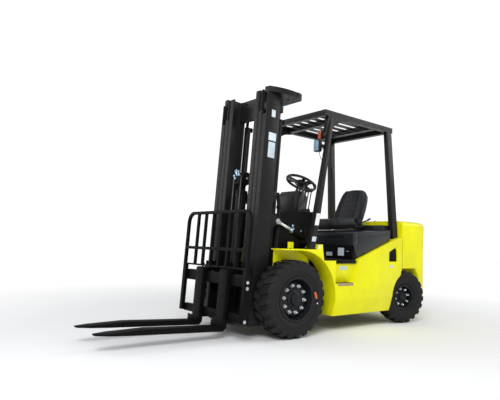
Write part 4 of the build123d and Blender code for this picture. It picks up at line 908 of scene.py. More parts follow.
@dataclass
class Chains:
    """Leaf chains of the mast: straight strands, wraps over the sheaves and anchor nuts."""

    pitch: float = 0.0190
    pin_share: float = 0.5
    leaf_share: float = 0.34
    free_sheave: Point = (0.060, -0.290, 1.450)
    main_sheave: Point = (0.216, -0.155, 2.185)
    narrow: tuple[float, float] = (0.018, 0.008)
    wide: tuple[float, float] = (0.020, 0.008)

    def link(self, width: float, thickness: float, pitch: float) -> Piece:
        """One link: a leaf pack with its pin's two heads, standing on the origin."""
        pin = cylinder((-width / 2, 0, 0), (width / 2, 0, 0), thickness * self.pin_share, 8)
        leaf = box((-width / 2 + 0.001, -thickness * self.leaf_share, -pitch * 0.1),
                   (width / 2 - 0.001, thickness * self.leaf_share, pitch * 0.95))
        return join([pin, leaf])

    def strands(self, node: str, place: Point, top: float,
                size: tuple[float, float]) -> None:
        """Replace a pair of straight strands by leaf chain.

        Args:
            node: The node that they stand for.
            place: Half the distance between them, their depth and their lower end's height.
            top: Their upper end's height.
            size: Their width and thickness.
        """
        x, y, foot = place
        count = round((top - foot) / self.pitch)
        pitch = (top - foot) / count
        strand = self.link(*size, pitch)
        array = strand.modifiers.new("links", "ARRAY")
        array.count = count
        array.use_relative_offset = False
        array.use_constant_offset = True
        array.constant_offset_displace = (0.0, 0.0, pitch)
        apply_modifiers(strand)
        pair = shade(copies(strand, shifts([(side * x, y, foot) for side in SIDES])), 40.0)
        finish_piece(pair, f"{node}_leaves", Finish.CHAIN, "", (node,), MAST)
        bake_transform(pair)

    def wrap(self, name: str, body: str, centre: Point, radius: float, size: tuple[float, float]) -> None:
        """Lay links over the top half of a pair of sheaves."""
        x, y, z = centre
        count = round(pi * radius / self.pitch)
        link = self.link(*size, self.pitch)
        link.data.transform(Matrix.Translation((0, -radius, 0)))
        moves = [Matrix.Translation((side * x, y, z)) @ Matrix.Rotation(-pi * index / count, 4, "X")
                 for side in SIDES for index in range(count + 1)]
        finish_piece(copies(link, moves), name, Finish.CHAIN, body)

    def build(self) -> None:
        """Build all eight strands and their wraps."""
        x, _, top = self.free_sheave
        main_x, _, main_top = self.main_sheave
        for node, lower, upper, place, end, size in (
                ("free_lift_chains_front", "carriage", "free_lift_ram", (x, -0.348, 0.352), top, self.narrow),
                ("free_lift_chains_rear", "mast_inner", "free_lift_ram", (x, -0.232, 0.960), top, self.narrow),
                ("lift_chains_rear", "mast_outer", "mast_middle", (main_x, -0.127, 1.345), main_top, self.wide),
                ("lift_chains_front", "mast_inner", "mast_middle", (main_x, -0.183, 0.150), main_top, self.wide)):
            self.strands(node, place, end, size)
        self.wrap("free_lift_chain_wraps", "free_lift_ram", self.free_sheave, 0.058, self.narrow)
        self.wrap("lift_chain_wraps", "mast_middle", self.main_sheave, 0.028, self.wide)
        nuts = bolts([(side * x, -0.236, 0.966) for side in SIDES], -UP, 0.010, 0.030)
        finish_piece(nuts, "free_lift_chain_anchor_nuts", Finish.STEEL, "mast_inner")
        nuts = bolts([(side * main_x, -0.127, 1.308) for side in SIDES], -UP, 0.012, 0.022)
        finish_piece(nuts, "lift_chain_anchor_nuts", Finish.STEEL, "mast_outer")


@dataclass
class MastTrim:
    """Rollers, plates, bolts and hoses of the mast."""

    rail_side: float = 0.378
    roller: float = 0.0575

    def build(self) -> None:
        """Dress the whole mast."""
        self.rollers()
        self.plates()
        self.crosshead()
        self.hoses()
        self.cylinder_heads()
        self.nuts()

    def rollers(self) -> None:
        """Flanged rollers that show in the notches at the rails' tops."""
        for name, body, inner, outer, height in (
                ("outer_top_rollers", "mast_outer", 0.2925, 0.3635, 2.128),
                ("middle_top_rollers", "mast_middle", 0.2535, 0.2745, 2.150)):
            y = -0.269
            wheel = cylinder((inner, y, height), (min(inner + 0.026, outer), y, height), self.roller, 40)
            inset(wheel, (-1, 0, 0), 0.012, -0.004)
            soften(wheel, 0.002, 2)
            parts = [wheel, bolts([(inner - 0.0005, y, height)], -X_AXIS, 0.010, 0.004)]
            if outer - inner > 0.03:
                parts.append(cylinder((inner + 0.02, y, height), (outer, y, height), 0.024, 24))
            finish_pair(join(parts), name, Finish.IRON, body)

    def plates(self) -> None:
        """Blank plates on the left outer rail."""
        for name, y0, y1, z0, z1 in (("mast_plate_small", -0.286, -0.242, 2.016, 2.084),
                                     ("mast_plate_square", -0.302, -0.214, 1.790, 1.866),
                                     ("mast_plate_long", -0.297, -0.218, 1.630, 1.776)):
            plate = blank_plate((self.rail_side - 0.0003, y0, z0), (self.rail_side + 0.0012, y1, z1))
            finish_piece(plate, name, Finish.PLATE, "mast_outer")

    def crosshead(self) -> None:
        """Cover, hose fittings and axle nuts of the free-lift crosshead."""
        hood = slab((-0.050, -0.356, 1.392), (0.050, -0.325, 1.500), 0.006, 3)
        inset(hood, (0, -1, 0), 0.014, -0.006)
        finish_piece(hood, "crosshead_cover", Finish.FORK, "free_lift_ram")
        parts = []
        for x, z, length in ((-0.020, 1.520, 0.050), (0.018, 1.506, 0.040), (-0.046, 1.470, 0.034)):
            parts.append(cylinder((x, -0.352, z), (x + 0.030, -0.356, z - length), 0.011, 16))
            parts.append(hex_head((x, -0.352, z), (-0.5, 0, 1), 0.015, 0.016))
        elbow = tube([(-0.034, -0.352, 1.530), (-0.020, -0.368, 1.520),
                      (0.0, -0.370, 1.500), (0.006, -0.356, 1.472)], 0.010)
        finish_piece(join([elbow, *parts]), "crosshead_hose_fittings", Finish.FITTING, "free_lift_ram")
        caps = bolts([(0.0805, -0.290, 1.450)], X_AXIS, 0.013, 0.008)
        finish_pair(caps, "sheave_axle_nuts", Finish.STEEL, "free_lift_ram")

    def hoses(self) -> None:
        """Pressure hoses behind the mast, and the free-lift cylinder's own."""
        for side, name in HANDS:
            x = side * 0.318
            lines = [tube([(line_x, y, z) for y, z in ((-0.098, 0.470), (-0.062, 0.560), (-0.052, 0.900),
                                                       (-0.052, 1.250), (-0.086, 1.330))], 0.010)
                     for line_x in (x, x - side * 0.026)]
            clamp = slab((x - 0.040 if side > 0 else x - 0.014, -0.068, 1.180),
                         (x + 0.014 if side > 0 else x + 0.040, -0.036, 1.210), 0.003)
            finish_piece(join([clamp, *lines]), f"mast_hoses_{name}", Finish.HOSE, "mast_outer")
        feed = tube([(0.060, -0.250, 0.128), (0.090, -0.222, 0.150), (0.100, -0.214, 0.400),
                     (0.100, -0.214, 0.900), (0.066, -0.236, 0.940)], 0.009)
        finish_piece(feed, "free_lift_hose", Finish.HOSE, "mast_inner")

    def cylinder_heads(self) -> None:
        """Gland nuts of the lift cylinders and bolts of the tie plate."""
        glands = cylinder((0.262, -0.072, 2.012), (0.262, -0.072, 2.050), 0.0345, 12)
        finish_pair(soften(glands, 0.002), "lift_cylinder_glands", Finish.FORK, "mast_outer")
        gland = cylinder((0, -0.290, 1.290), (0, -0.290, 1.334), 0.0600, 12)
        finish_piece(soften(gland, 0.002), "free_lift_gland", Finish.FORK, "mast_inner")
        stops = bolts([(0.300, -0.080, 2.3035), (0.355, -0.030, 2.3035)], UP, 0.011, 0.008)
        finish_pair(stops, "tie_plate_bolts", Finish.STEEL, "mast_middle")

    def nuts(self) -> None:
        """Bolt heads of the cross members and nuts of the tilt eyes."""
        heads = bolts([(0.330, -0.134, z) for z in (0.130, 0.178, 0.470, 0.520, 1.255, 1.305, 2.105, 2.140)],
                      (0, 1, 0), 0.011, 0.008)
        finish_pair(heads, "cross_member_bolts", Finish.FORK, "mast_outer")
        nuts = []
        for x, axis, height in ((0.3175, -X_AXIS, 0.0035), (0.3705, X_AXIS, 0.008)):
            nuts.append(hex_head((x, -0.104, 1.055), axis, 0.020, height))
        finish_pair(join(nuts), "tilt_eye_nuts", Finish.STEEL, "mast_outer")


@dataclass
class CarriageTrim:
    """Bolts, locking pins and notches of the carriage, backrest and forks."""

    bolt: float = 0.012

    def build(self) -> None:
        """Dress the carriage and what hangs on it."""
        rear = bolts([(0.5432, -0.5225, z) for z in (0.157, 0.434, 0.484)], X_AXIS, self.bolt, 0.009)
        finish_pair(rear, "backrest_bolts", Finish.STEEL, "carriage")
        notches = copies(slab((-0.007, -0.5090, 0.5310), (0.007, -0.4620, 0.5422), 0.001),
                         shifts([(x * 0.001, 0, 0) for x in range(-480, 481, 80) if abs(x) > 40]))
        finish_piece(notches, "fork_position_notches", Finish.FRAME, "carriage")
        lugs = slab((0.135, -0.4625, 0.552), (0.150, -0.405, 0.638), 0.003)
        finish_pair(lugs, "backrest_lugs", Finish.FORK, "carriage")
        anchors = bolts([(side * 0.060, -0.348, 0.316) for side in SIDES], -UP, 0.010, 0.024)
        finish_piece(anchors, "front_chain_anchor_nuts", Finish.STEEL, "carriage")
        for side, name in HANDS:
            x = side * 0.204
            stem = cylinder((x, -0.520, 0.576), (x, -0.520, 0.604), 0.008, 16)
            knob = cylinder((x, -0.520, 0.600), (x, -0.520, 0.618), 0.015, 20)
            soften(knob, 0.004, 3)
            handle = tube([(x - 0.030, -0.520, 0.612), (x, -0.520, 0.620), (x + 0.030, -0.520, 0.612)], 0.004)
            finish_piece(join([stem, knob, handle]), f"fork_lock_{name}", Finish.FORK, f"fork_{name}")
            shoe = slab((x - 0.052, -0.6045, 0.0835), (x + 0.052, -0.5990, 0.135), 0.002)
            finish_piece(shoe, f"fork_heel_pad_{name}", Finish.FORK, f"fork_{name}")


@dataclass(frozen=True)
class Tyre:
    """A pneumatic tyre with bulging sidewalls and staggered lugs that wrap its shoulders."""

    radius: float
    width: float
    rim: float
    rim_width: float
    lugs: int
    depth: float = 0.016
    lug_share: float = 0.62
    skew: float = 0.34
    shoulder_drop: float = 0.030

    def casing(self) -> Piece:
        """The casing, spun about X from its section."""
        half = self.width / 2
        base = self.radius - self.depth
        tall = base - self.rim
        bead = self.rim_width / 2 - 0.001
        section = [(0.0, base), (half * 0.45, base - 0.0005), (half * 0.72, base - 0.003),
                   (half * 0.88, base - 0.011), (half * 0.965, base - 0.028), (half, base - tall * 0.38),
                   (half * 0.995, base - tall * 0.52), (half * 0.965, base - tall * 0.68),
                   (half * 0.90, base - tall * 0.82), (bead + 0.003, self.rim + 0.0175),
                   (bead, self.rim + 0.0005)]
        section += [(-x, radius) for x, radius in reversed(section[1:])]
        deselect()
        bpy.ops.mesh.primitive_circle_add(vertices=len(section), fill_type="NOTHING")
        piece = bpy.context.object
        for vertex, (x, radius) in zip(piece.data.vertices, section):
            vertex.co = (x, 0.0, radius)
        with editing(piece):
            bpy.ops.mesh.spin(steps=96, angle=2 * pi, center=(0, 0, 0), axis=(1, 0, 0))
            bpy.ops.mesh.select_all(action="SELECT")
            bpy.ops.mesh.remove_doubles(threshold=0.0002)
            bpy.ops.mesh.normals_make_consistent(inside=False)
        return piece

    def lug(self) -> Piece:
        """One lug of the outer side, from the tread's middle over the shoulder."""
        piece = fine_cube(5)
        pitch = 2 * pi / self.lugs
        half = self.width / 2
        for vertex in piece.data.vertices:
            share, rise = vertex.co.x + 0.5, vertex.co.z + 0.5
            drop = 0.003 * share + self.shoulder_drop * max(0.0, (share - 0.78) / 0.22) ** 1.6
            top = self.radius - drop
            foot = self.radius - self.depth - 0.007 - drop * 1.05
            radius = foot + rise * (top - foot)
            spread = self.lug_share * (1 - 0.16 * rise) * vertex.co.y
            angle = pitch * (spread + self.skew * share ** 1.3)
            vertex.co = (0.005 + share * (half - 0.006), radius * sin(angle), radius * cos(angle))
        return shade(piece, 46.0)

    def build(self) -> Piece:
        """The whole tyre at the origin, its outer side towards +X."""
        lug = self.lug()
        mirror_lug = flip(twin_of(lug))
        outer = copies(lug, around(self.lugs))
        inner = copies(mirror_lug, around(self.lugs, pi / self.lugs))
        return shade(join([outer, inner, self.casing()]), 42.0)


@dataclass(frozen=True)
class WheelTrim:
    """Tyre, nuts, hub cap, valve and sidewall rings of a drive wheel, drawn with its outside towards +X."""

    tyre: Tyre = Tyre(0.353, 0.223, 0.190, 0.178, 23)
    sidewall: float = 0.1115
    rings: tuple[float, float] = (0.252, 0.262)
    disc: float = 0.046
    nut_circle: float = 0.124
    nuts: int = 10
    hub_circle: float = 0.046
    hub_bolts: int = 8
    hub_end: float = 0.094
    valve_circle: float = 0.160
    weld: tuple[float, float] = (0.028, 0.1815)

    def sidewall_rings(self) -> Piece:
        """Raised rings on the tyre's outer side."""
        squash = Matrix.Translation((self.sidewall * 0.6, 0, 0)) @ Matrix.Scale(0.4, 4, X_AXIS)
        bands = [ring((self.sidewall, 0, 0), X_AXIS, radius, 0.004, 72, 6) for radius in self.rings]
        for band in bands:
            band.data.transform(squash)
        return join(bands)

    def wheel_nuts(self) -> Piece:
        """Nuts on their studs, each on a cone."""
        disc, circle = self.disc, self.nut_circle
        nut = join([cylinder((disc, 0, circle), (disc + 0.006, 0, circle), 0.0165, 20, 0.0120),
                    hex_head((disc + 0.004, 0, circle), X_AXIS, 0.0125, 0.017),
                    soften(cylinder((disc + 0.018, 0, circle), (disc + 0.029, 0, circle), 0.0070, 12), 0.001, 1)])
        return copies(nut, around(self.nuts, 0.2))

    def hub_trim(self) -> Piece:
        """Hub bolts, hub cap, valve and the weld between disc and rim."""
        bolt = hex_head((self.disc + 0.0055, 0, self.hub_circle), X_AXIS, 0.0085, 0.008)
        cap = cylinder((self.hub_end - 0.002, 0, 0), (self.hub_end + 0.006, 0, 0), 0.024, 24)
        valve = tube([(0.030, 0, self.valve_circle), (0.050, 0, self.valve_circle - 0.004),
                      (0.070, 0, self.valve_circle - 0.014)], 0.0042)
        valve.data.transform(Matrix.Rotation(0.6, 4, "X"))
        weld = ring((self.weld[0], 0, 0), X_AXIS, self.weld[1], 0.0035, 72, 6)
        return join([copies(bolt, around(self.hub_bolts, 0.1)), soften(cap, 0.003, 3), valve, weld])

    def build(self, name: str, side: int, place: Matrix) -> None:
        """Dress one wheel.

        Args:
            name: Its name's ending.
            side: 1 on the truck's left, -1 on its right.
            place: Where the wheel stands.
        """
        for piece, label, finish, replaces in (
                (self.tyre.build(), "tyre_rubber", Finish.TYRE, (f"tyre_{name}",)),
                (self.sidewall_rings(), "sidewall_rings", Finish.TYRE, ()),
                (self.wheel_nuts(), "wheel_nuts", Finish.STEEL, ()),
                (self.hub_trim(), "hub_trim", Finish.WHEEL, ())):
            finish_piece(flip(piece, side), f"{label}_{name}", finish, f"wheel_{name}", replaces, TRUCK @ place)


@dataclass
class Wheels:
    """All four wheels, with the marks on the left front tyre."""

    drive: WheelTrim = WheelTrim()
    steered: WheelTrim = WheelTrim(
        tyre=Tyre(0.290, 0.178, 0.127, 0.127, 20), sidewall=0.0880, rings=(0.190, 0.198), disc=0.018,
        nut_circle=0.092, nuts=8, hub_circle=0.034, hub_bolts=6, hub_end=0.056, valve_circle=0.105,
        weld=(0.0, 0.1185))
    front_x: float = 0.505
    front_z: float = 0.353
    rear_y: float = 1.700
    rear_z: float = 0.290

    def build(self) -> None:
        """Dress all four wheels."""
        for side, name in HANDS:
            self.drive.build(f"front_{name}", side, Matrix.Translation((side * self.front_x, 0, self.front_z)))
            kingpin = Matrix.Translation((side * KINGPIN_X, self.rear_y, self.rear_z))
            turned = kingpin @ Matrix.Rotation(-STEER, 4, "Z") @ Matrix.Translation((side * SCRUB, 0, 0))
            self.steered.build(f"rear_{name}", side, turned)
        mark = slab((0.6060, 0.214, 0.350), (0.6135, 0.234, 0.410), 0.002)
        slant(mark, 0.38, -0.02, -0.30)
        finish_piece(mark, "balance_mark_orange", Finish.ORANGE, "wheel_front_left")
        dot = soften(cylinder((0.6130, 0.243, 0.306), (0.6175, 0.243, 0.306), 0.008, 16), 0.001)
        finish_piece(dot, "balance_mark_white", Finish.WHITE, "wheel_front_left")


@dataclass
class BodyTrim:
    """Plates, step strips, black vent liners that paint the shade inside the side vents, hood pressings and
    counterweight fittings.
    """

    side: float = 0.578
    kick_y: float = 0.790

    def build(self) -> None:
        """Dress the body."""
        self.plates()
        self.step()
        self.vents()
        self.hood()
        self.counterweight()
        self.fender()

    def plates(self) -> None:
        """Blank plates on the kick panel and the body's left side."""
        for name, x0, x1, z0, z1 in (("kick_plate_small", 0.166, 0.256, 0.738, 0.778),
                                     ("kick_plate_tall", 0.338, 0.424, 0.744, 0.826),
                                     ("kick_strip", 0.458, 0.496, 0.788, 0.794)):
            plate = blank_plate((x0, self.kick_y - 0.0012, z0), (x1, self.kick_y + 0.0003, z1), (0, -1, 0))
            finish_piece(plate, name, Finish.PLATE)
        for name, finish, y0, y1, z0, z1 in (("vent_plate", Finish.PLATE, 1.370, 1.424, 0.624, 0.652),
                                             ("fender_mark", Finish.WHITE, 0.268, 0.292, 0.812, 0.846),
                                             ("step_plate", Finish.PLATE, 0.596, 0.698, 0.606, 0.644)):
            plate = blank_plate((self.side - 0.0003, y0, z0), (self.side + 0.0012, y1, z1))
            if name == "step_plate":
                slant(plate, 0.700, 0.3393, 0.0)
            finish_piece(plate, name, finish)

    def step(self) -> None:
        """Anti-slip strips and grip bars of both steps, and the floor mat's ribs."""
        strip = slab((0.5765, 0.548, 0.4535), (0.5832, 0.772, 0.4752), 0.001, 1)
        finish_pair(strip, "step_strips", Finish.STRIP)
        bars = row(slab((0.506, 0.5365, 0.4755), (0.574, 0.5415, 0.4790), 0.001, 1), (0, 0.0165, 0), 15)
        finish_pair(bars, "step_grip_bars", Finish.GRIP)
        ribs = row(slab((-0.380, 0.372, 0.7095), (0.380, 0.382, 0.7125), 0.001, 1), (0, 0.024, 0), 17)
        finish_piece(ribs, "floor_mat_ribs", Finish.GRIP)

    def vents(self) -> None:
        """Black liners that paint the shade inside the rear side vents, with louvres on them."""
        # Painted shade: the black liner fills each vent's inside with dark where only shade falls; the louvres on
        # it are real parts of the vent.
        shade_liner = slab((0.5570, 1.351, 0.691), (0.5620, 1.500, 0.836), 0.002)
        louvres = row(slab((0.5610, 1.356, 0.700), (0.5690, 1.488, 0.706), 0.001, 1), (0, 0, 0.019), 5)
        finish_pair(join([shade_liner, louvres]), "side_vent_shade_liners", Finish.FRAME)

    def hood(self) -> None:
        """Pressings, latch and edge seams of the hood."""
        body = body_of("hood")
        panel = slab((0.5478, 0.806, 0.868), (0.5512, 0.852, 0.966), 0.0015)
        rear = box((0.5478, 0.868, 0.0), (0.5508, 1.375, 0.028))
        for vertex in rear.data.vertices:
            along = (vertex.co.y - 0.868) / 0.507
            base = 0.800 + along * 0.150
            vertex.co.z = base if vertex.co.z < 0.014 else 0.968 + along * 0.038
        soften(rear, 0.0015, 2)
        finish_pair(join([panel, rear]), "hood_pressings", Finish.HOOD, body)
        lip = slab((-0.430, 0.7835, 0.938), (0.430, 0.7905, 0.952), 0.003, 3)
        latch = slab((-0.060, 0.7800, 0.905), (0.060, 0.7905, 0.930), 0.004, 3)
        inset(latch, (0, -1, 0), 0.006, -0.004)
        finish_piece(join([lip, latch]), "hood_latch", Finish.GRIP, body)
        seal = tube([(0.5490, 0.796, 0.985), (0.5490, 1.000, 1.001), (0.5490, 1.396, 1.031)], 0.0025)
        finish_pair(seal, "hood_edge_seams", Finish.GRIP, body)

    def counterweight(self) -> None:
        """Tow pin, caps, grille and seams of the counterweight."""
        pin = soften(cylinder((0, 2.132, 0.440), (0, 2.132, 0.612), 0.0150, 24), 0.003)
        head = soften(cylinder((0, 2.132, 0.5905), (0, 2.132, 0.606), 0.026, 24), 0.003)
        loop = ring((0, 2.132, 0.636), (0, 1, 0), 0.028, 0.006, 32, 8)
        finish_piece(join([pin, head, loop]), "tow_pin", Finish.IRON)
        caps = []
        for x in (0.124, -0.124):
            caps.append(soften(cylinder((x, 1.652, 1.1495), (x, 1.652, 1.1545), 0.021, 24), 0.002))
            caps.append(hex_head((x, 1.652, 1.153), UP, 0.011, 0.006))
        finish_piece(join(caps), "lifting_hole_caps", Finish.FRAME)
        grille = row(slab((-0.300, 2.2045, 0.800), (0.300, 2.2110, 0.812), 0.002, 1), (0, 0, 0.024), 7)
        ends = [slab((x, 2.2045, 0.786), (x + 0.017, 2.2115, 0.972), 0.002, 1) for x in (-0.315, 0.298)]
        finish_piece(join([grille, *ends]), "rear_grille", Finish.FRAME)
        seam = slab((0.5772, 1.5885, 0.625), (0.5784, 1.5915, 0.955), 0.0003, 1)
        finish_pair(seam, "body_seams", Finish.FRAME)

    def fender(self) -> None:
        """Tabs and bolts of the fenders."""
        tab = slab((0.404, 0.030, 0.8045), (0.414, 0.100, 0.868), 0.004)
        finish_pair(tab, "fender_tabs", Finish.YELLOW)
        heads = bolts([(0.460, -0.110, 0.805), (0.540, -0.110, 0.805), (0.540, -0.050, 0.805)], UP, 0.010, 0.007)
        finish_pair(heads, "fender_bolts", Finish.FRAME)


@dataclass
class CabTrim:
    """Instruments, pedals, levers and fittings of the operator's place."""

    def build(self) -> None:
        """Dress the operator's place."""
        self.instruments()
        self.pedals()
        self.wheel()
        self.cowl()

    def instruments(self) -> None:
        """Blank instrument panel, key switch, parking brake, column stalk and lever boots."""
        panel = slab((-0.085, 0.372, 1.386), (0.075, 0.444, 1.402), 0.004, 3)
        inset(panel, (0, 0, 1), 0.008, -0.003)
        finish_piece(panel, "instrument_panel", Finish.GRIP)
        key = join([soften(cylinder((0.118, 0.400, 1.385), (0.118, 0.402, 1.400), 0.014, 20), 0.002),
                    slab((0.1165, 0.396, 1.398), (0.1195, 0.406, 1.420), 0.001)])
        finish_piece(key, "key_switch", Finish.STEEL)
        brake = tube([(0.175, 0.352, 1.180), (0.178, 0.362, 1.300), (0.180, 0.420, 1.420)], 0.008)
        grip = soften(cylinder((0.1795, 0.400, 1.385), (0.1805, 0.430, 1.455), 0.013, 20), 0.004, 3)
        finish_piece(join([brake, grip]), "parking_brake_lever", Finish.GRIP)
        stalk = tube([(0.025, 0.500, 1.442), (0.090, 0.500, 1.452), (0.150, 0.494, 1.470)], 0.006)
        knob = soften(cylinder((0.140, 0.495, 1.466), (0.172, 0.492, 1.478), 0.010, 16), 0.003)
        finish_piece(join([stalk, knob]), "direction_stalk", Finish.GRIP)
        boots = row(cylinder((0.190, 0.400, 1.180), (0.190, 0.404, 1.210), 0.026, 24, 0.014), (0.042, 0, 0), 3)
        finish_piece(soften(boots, 0.002), "lever_boots", Finish.HOSE)

    def pedals(self) -> None:
        """Three pedals with ribbed pads."""
        parts = []
        for x, width in ((-0.200, 0.070), (-0.060, 0.085), (0.120, 0.062)):
            parts.append(tube([(x, 0.352, 0.980), (x, 0.400, 0.900), (x, 0.445, 0.800)], 0.008))
            pad = slab((x - width / 2, 0.425, 0.786), (x + width / 2, 0.437, 0.856), 0.003)
            slant(pad, 0.820, 0.0, -0.55)
            parts.append(pad)
            for index in range(5):
                rib = slab((x - width / 2 + 0.006, 0.436, 0.794 + 0.0125 * index),
                           (x + width / 2 - 0.006, 0.440, 0.800 + 0.0125 * index), 0.001, 1)
                parts.append(slant(rib, 0.820, 0.0, -0.55))
        finish_piece(join(parts), "pedals", Finish.GRIP)

    def wheel(self) -> None:
        """Spinner knob, spoke covers and centre cap of the steering wheel."""
        tilt = (Matrix.Translation((0, 0.540, 1.510))
                @ Vector((0, 0.42, 0.9075)).to_track_quat("Z", "X").to_matrix().to_4x4())
        cap = soften(cylinder((0, 0, 0.010), (0, 0, 0.026), 0.040, 32, 0.034), 0.004, 3)
        button = soften(cylinder((0, 0, 0.024), (0, 0, 0.031), 0.022, 32), 0.003, 3)
        knob_stem = cylinder((-0.150, 0.050, 0.010), (-0.150, 0.050, 0.040), 0.007, 16)
        knob = soften(cylinder((-0.150, 0.050, 0.036), (-0.150, 0.050, 0.066), 0.020, 28, 0.016), 0.007, 4)
        cover = soften(cylinder((0, 0, -0.030), (0, 0, -0.004), 0.060, 32, 0.066), 0.006, 3)
        spokes = []
        for angle in (-0.35, pi + 0.35, pi / 2):
            spoke = slab((0.040, -0.030, -0.014), (0.150, 0.030, -0.003), 0.004)
            for vertex in spoke.data.vertices:
                vertex.co.y *= 1.25 - 3.2 * (vertex.co.x - 0.040)
            spoke.data.transform(Matrix.Rotation(angle, 4, "Z"))
            spokes.append(spoke)
        whole = join([button, knob_stem, knob, cap, *spokes, cover])
        finish_piece(whole, "steering_wheel_trim", Finish.GRIP, "steering_wheel", place=TRUCK @ tilt)

    def cowl(self) -> None:
        """Bolts, hoses and valve block on the cowl's front side."""
        heads = bolts([(0.3122, y, z) for y, z in ((0.160, 0.870), (0.160, 1.060), (0.230, 0.980), (0.230, 1.130))],
                      X_AXIS, 0.008, 0.006)
        finish_pair(heads, "cowl_bolts", Finish.STEEL)
        lines = []
        for index in range(3):
            x = 0.170 + 0.045 * index
            lines.append(tube([(x, 0.326, 1.040 - 0.03 * index), (x, 0.270, 1.020 - 0.03 * index),
                               (x + 0.010, 0.200, 0.900), (x + 0.010, 0.140, 0.780),
                               (x, 0.120, 0.560)], 0.0105))
        finish_piece(join(lines), "cowl_hoses", Finish.HOSE)
        valve = slab((0.150, 0.262, 1.000), (0.310, 0.3275, 1.090), 0.006)
        inset(valve, (0, -1, 0), 0.012, -0.006)
        unions = bolts([(0.175 + 0.045 * index, 0.262, 1.045) for index in range(3)], (0, -1, 0), 0.013, 0.018)
        finish_piece(valve, "valve_block", Finish.IRON)
        finish_piece(unions, "valve_unions", Finish.FITTING)


@dataclass
class GuardTrim:
    """Gussets, lamps, plates, feet and wiring of the overhead guard."""

    lamp_z: float = 1.836
    turn_z: float = 1.950

    def build(self) -> None:
        """Dress the guard."""
        self.gussets()
        self.lamps()
        self.leg_plates()
        self.rear_lamps()
        self.fasteners()

    def gussets(self) -> None:
        """Curved plates that brace each front leg into the roof rail."""
        web = box((0.4270, 0.470, 2.000), (0.4745, 0.680, 2.154))
        with editing(web):
            bpy.ops.mesh.subdivide(number_cuts=6)
        for vertex in web.data.vertices:
            along = (vertex.co.y - 0.470) / 0.210
            down = (2.154 - vertex.co.z) / 0.154
            depth = 0.014 + 0.215 * (1 - min(1.0, along)) ** 2.2
            vertex.co.z = 2.154 - down * depth
            leg = 0.462 + (2.154 - vertex.co.z) * -0.19
            vertex.co.y = leg + along * 0.290
        soften(web, 0.002, 1)
        finish_pair(web, "roof_gussets", Finish.GUARD)

    def lamps(self) -> None:
        """Lenses, clips, stays and leads of the front lamps."""
        lens = slab((0.3860, 0.3475, self.lamp_z - 0.052), (0.4490, 0.3535, self.lamp_z + 0.052), 0.005, 3)
        inset(lens, (0, -1, 0), 0.005, 0.003)
        finish_pair(lens, "headlamp_lenses", Finish.CLEAR_LENS)
        stay = tube([(0.452, 0.384, self.lamp_z + 0.010), (0.474, 0.392, self.lamp_z - 0.020),
                     (0.478, 0.420, self.lamp_z - 0.070)], 0.006)
        wire = tube([(0.4175, 0.398, self.lamp_z - 0.058), (0.425, 0.404, self.lamp_z - 0.120),
                     (0.462, 0.408, self.lamp_z - 0.150), (0.470, 0.412, self.lamp_z - 0.060)], 0.003)
        finish_pair(join([stay, wire]), "headlamp_leads", Finish.HOSE)
        clips = bolts([(0.392, 0.3535, self.lamp_z), (0.443, 0.3535, self.lamp_z)], (0, -1, 0), 0.004, 0.004)
        finish_pair(clips, "headlamp_clips", Finish.STEEL)
        turn = slab((0.4055, 0.3770, self.turn_z - 0.041), (0.4450, 0.3855, self.turn_z + 0.041), 0.005, 3)
        side = slab((0.3990, 0.3890, self.turn_z - 0.041), (0.4060, 0.4180, self.turn_z + 0.041), 0.003, 2)
        inset(turn, (0, -1, 0), 0.005, 0.002)
        finish_pair(join([turn, side]), "turn_lamp_lenses", Finish.AMBER_LENS)

    def leg_plates(self) -> None:
        """Blank plates on the left front leg."""
        for name, finish, low, high, foot in (
                ("leg_plate_tall", Finish.WHITE, (0.5500, 0.2480, 1.035), (0.5515, 0.3000, 1.150), 1.090),
                ("leg_plate_low", Finish.PLATE, (0.5564, 0.2020, 0.880), (0.5579, 0.2540, 0.926), 0.900)):
            finish_piece(slant(blank_plate(low, high), foot, -0.0342, 0.235), name, finish)

    def rear_lamps(self) -> None:
        """Round-cornered rear lamps on the rear legs, in their housings."""
        housing = slab((0.4280, 1.4560, 1.640), (0.4800, 1.4960, 1.830), 0.006, 3)
        slant(housing, 1.700, -0.040, -0.080)
        finish_pair(housing, "rear_lamp_housings", Finish.GRIP)
        for z, finish, name in ((1.655, Finish.RED, "rear_lamps_red"),
                                (1.711, Finish.AMBER_LENS, "rear_lamps_amber"),
                                (1.767, Finish.CLEAR_LENS, "rear_lamps_clear")):
            lens = slab((0.4335, 1.4900, z), (0.4745, 1.5010, z + 0.050), 0.004, 3)
            inset(lens, (0, 1, 0), 0.004, 0.002)
            slant(lens, 1.700, -0.040, -0.080)
            finish_pair(lens, name, finish)

    def fasteners(self) -> None:
        """Feet of the front legs, edges of the roof and the legs' wiring."""
        foot = slab((0.492, 0.162, 0.8045), (0.566, 0.256, 0.8150), 0.002)
        heads = bolts([(0.500, 0.168, 0.815), (0.558, 0.168, 0.815), (0.500, 0.250, 0.815)], UP, 0.008, 0.008)
        finish_pair(join([foot, heads]), "leg_feet", Finish.GUARD)
        rail = slab((0.4745, 0.440, 2.176), (0.4765, 1.480, 2.186), 0.0008, 1)
        finish_pair(rail, "roof_rain_edges", Finish.GUARD)
        lead = tube([(0.470, 0.440, 2.000), (0.480, 0.418, 1.900), (0.515, 0.405, 1.700),
                     (0.530, 0.360, 1.450), (0.540, 0.300, 1.200)], 0.004)
        finish_pair(lead, "leg_wiring", Finish.HOSE)


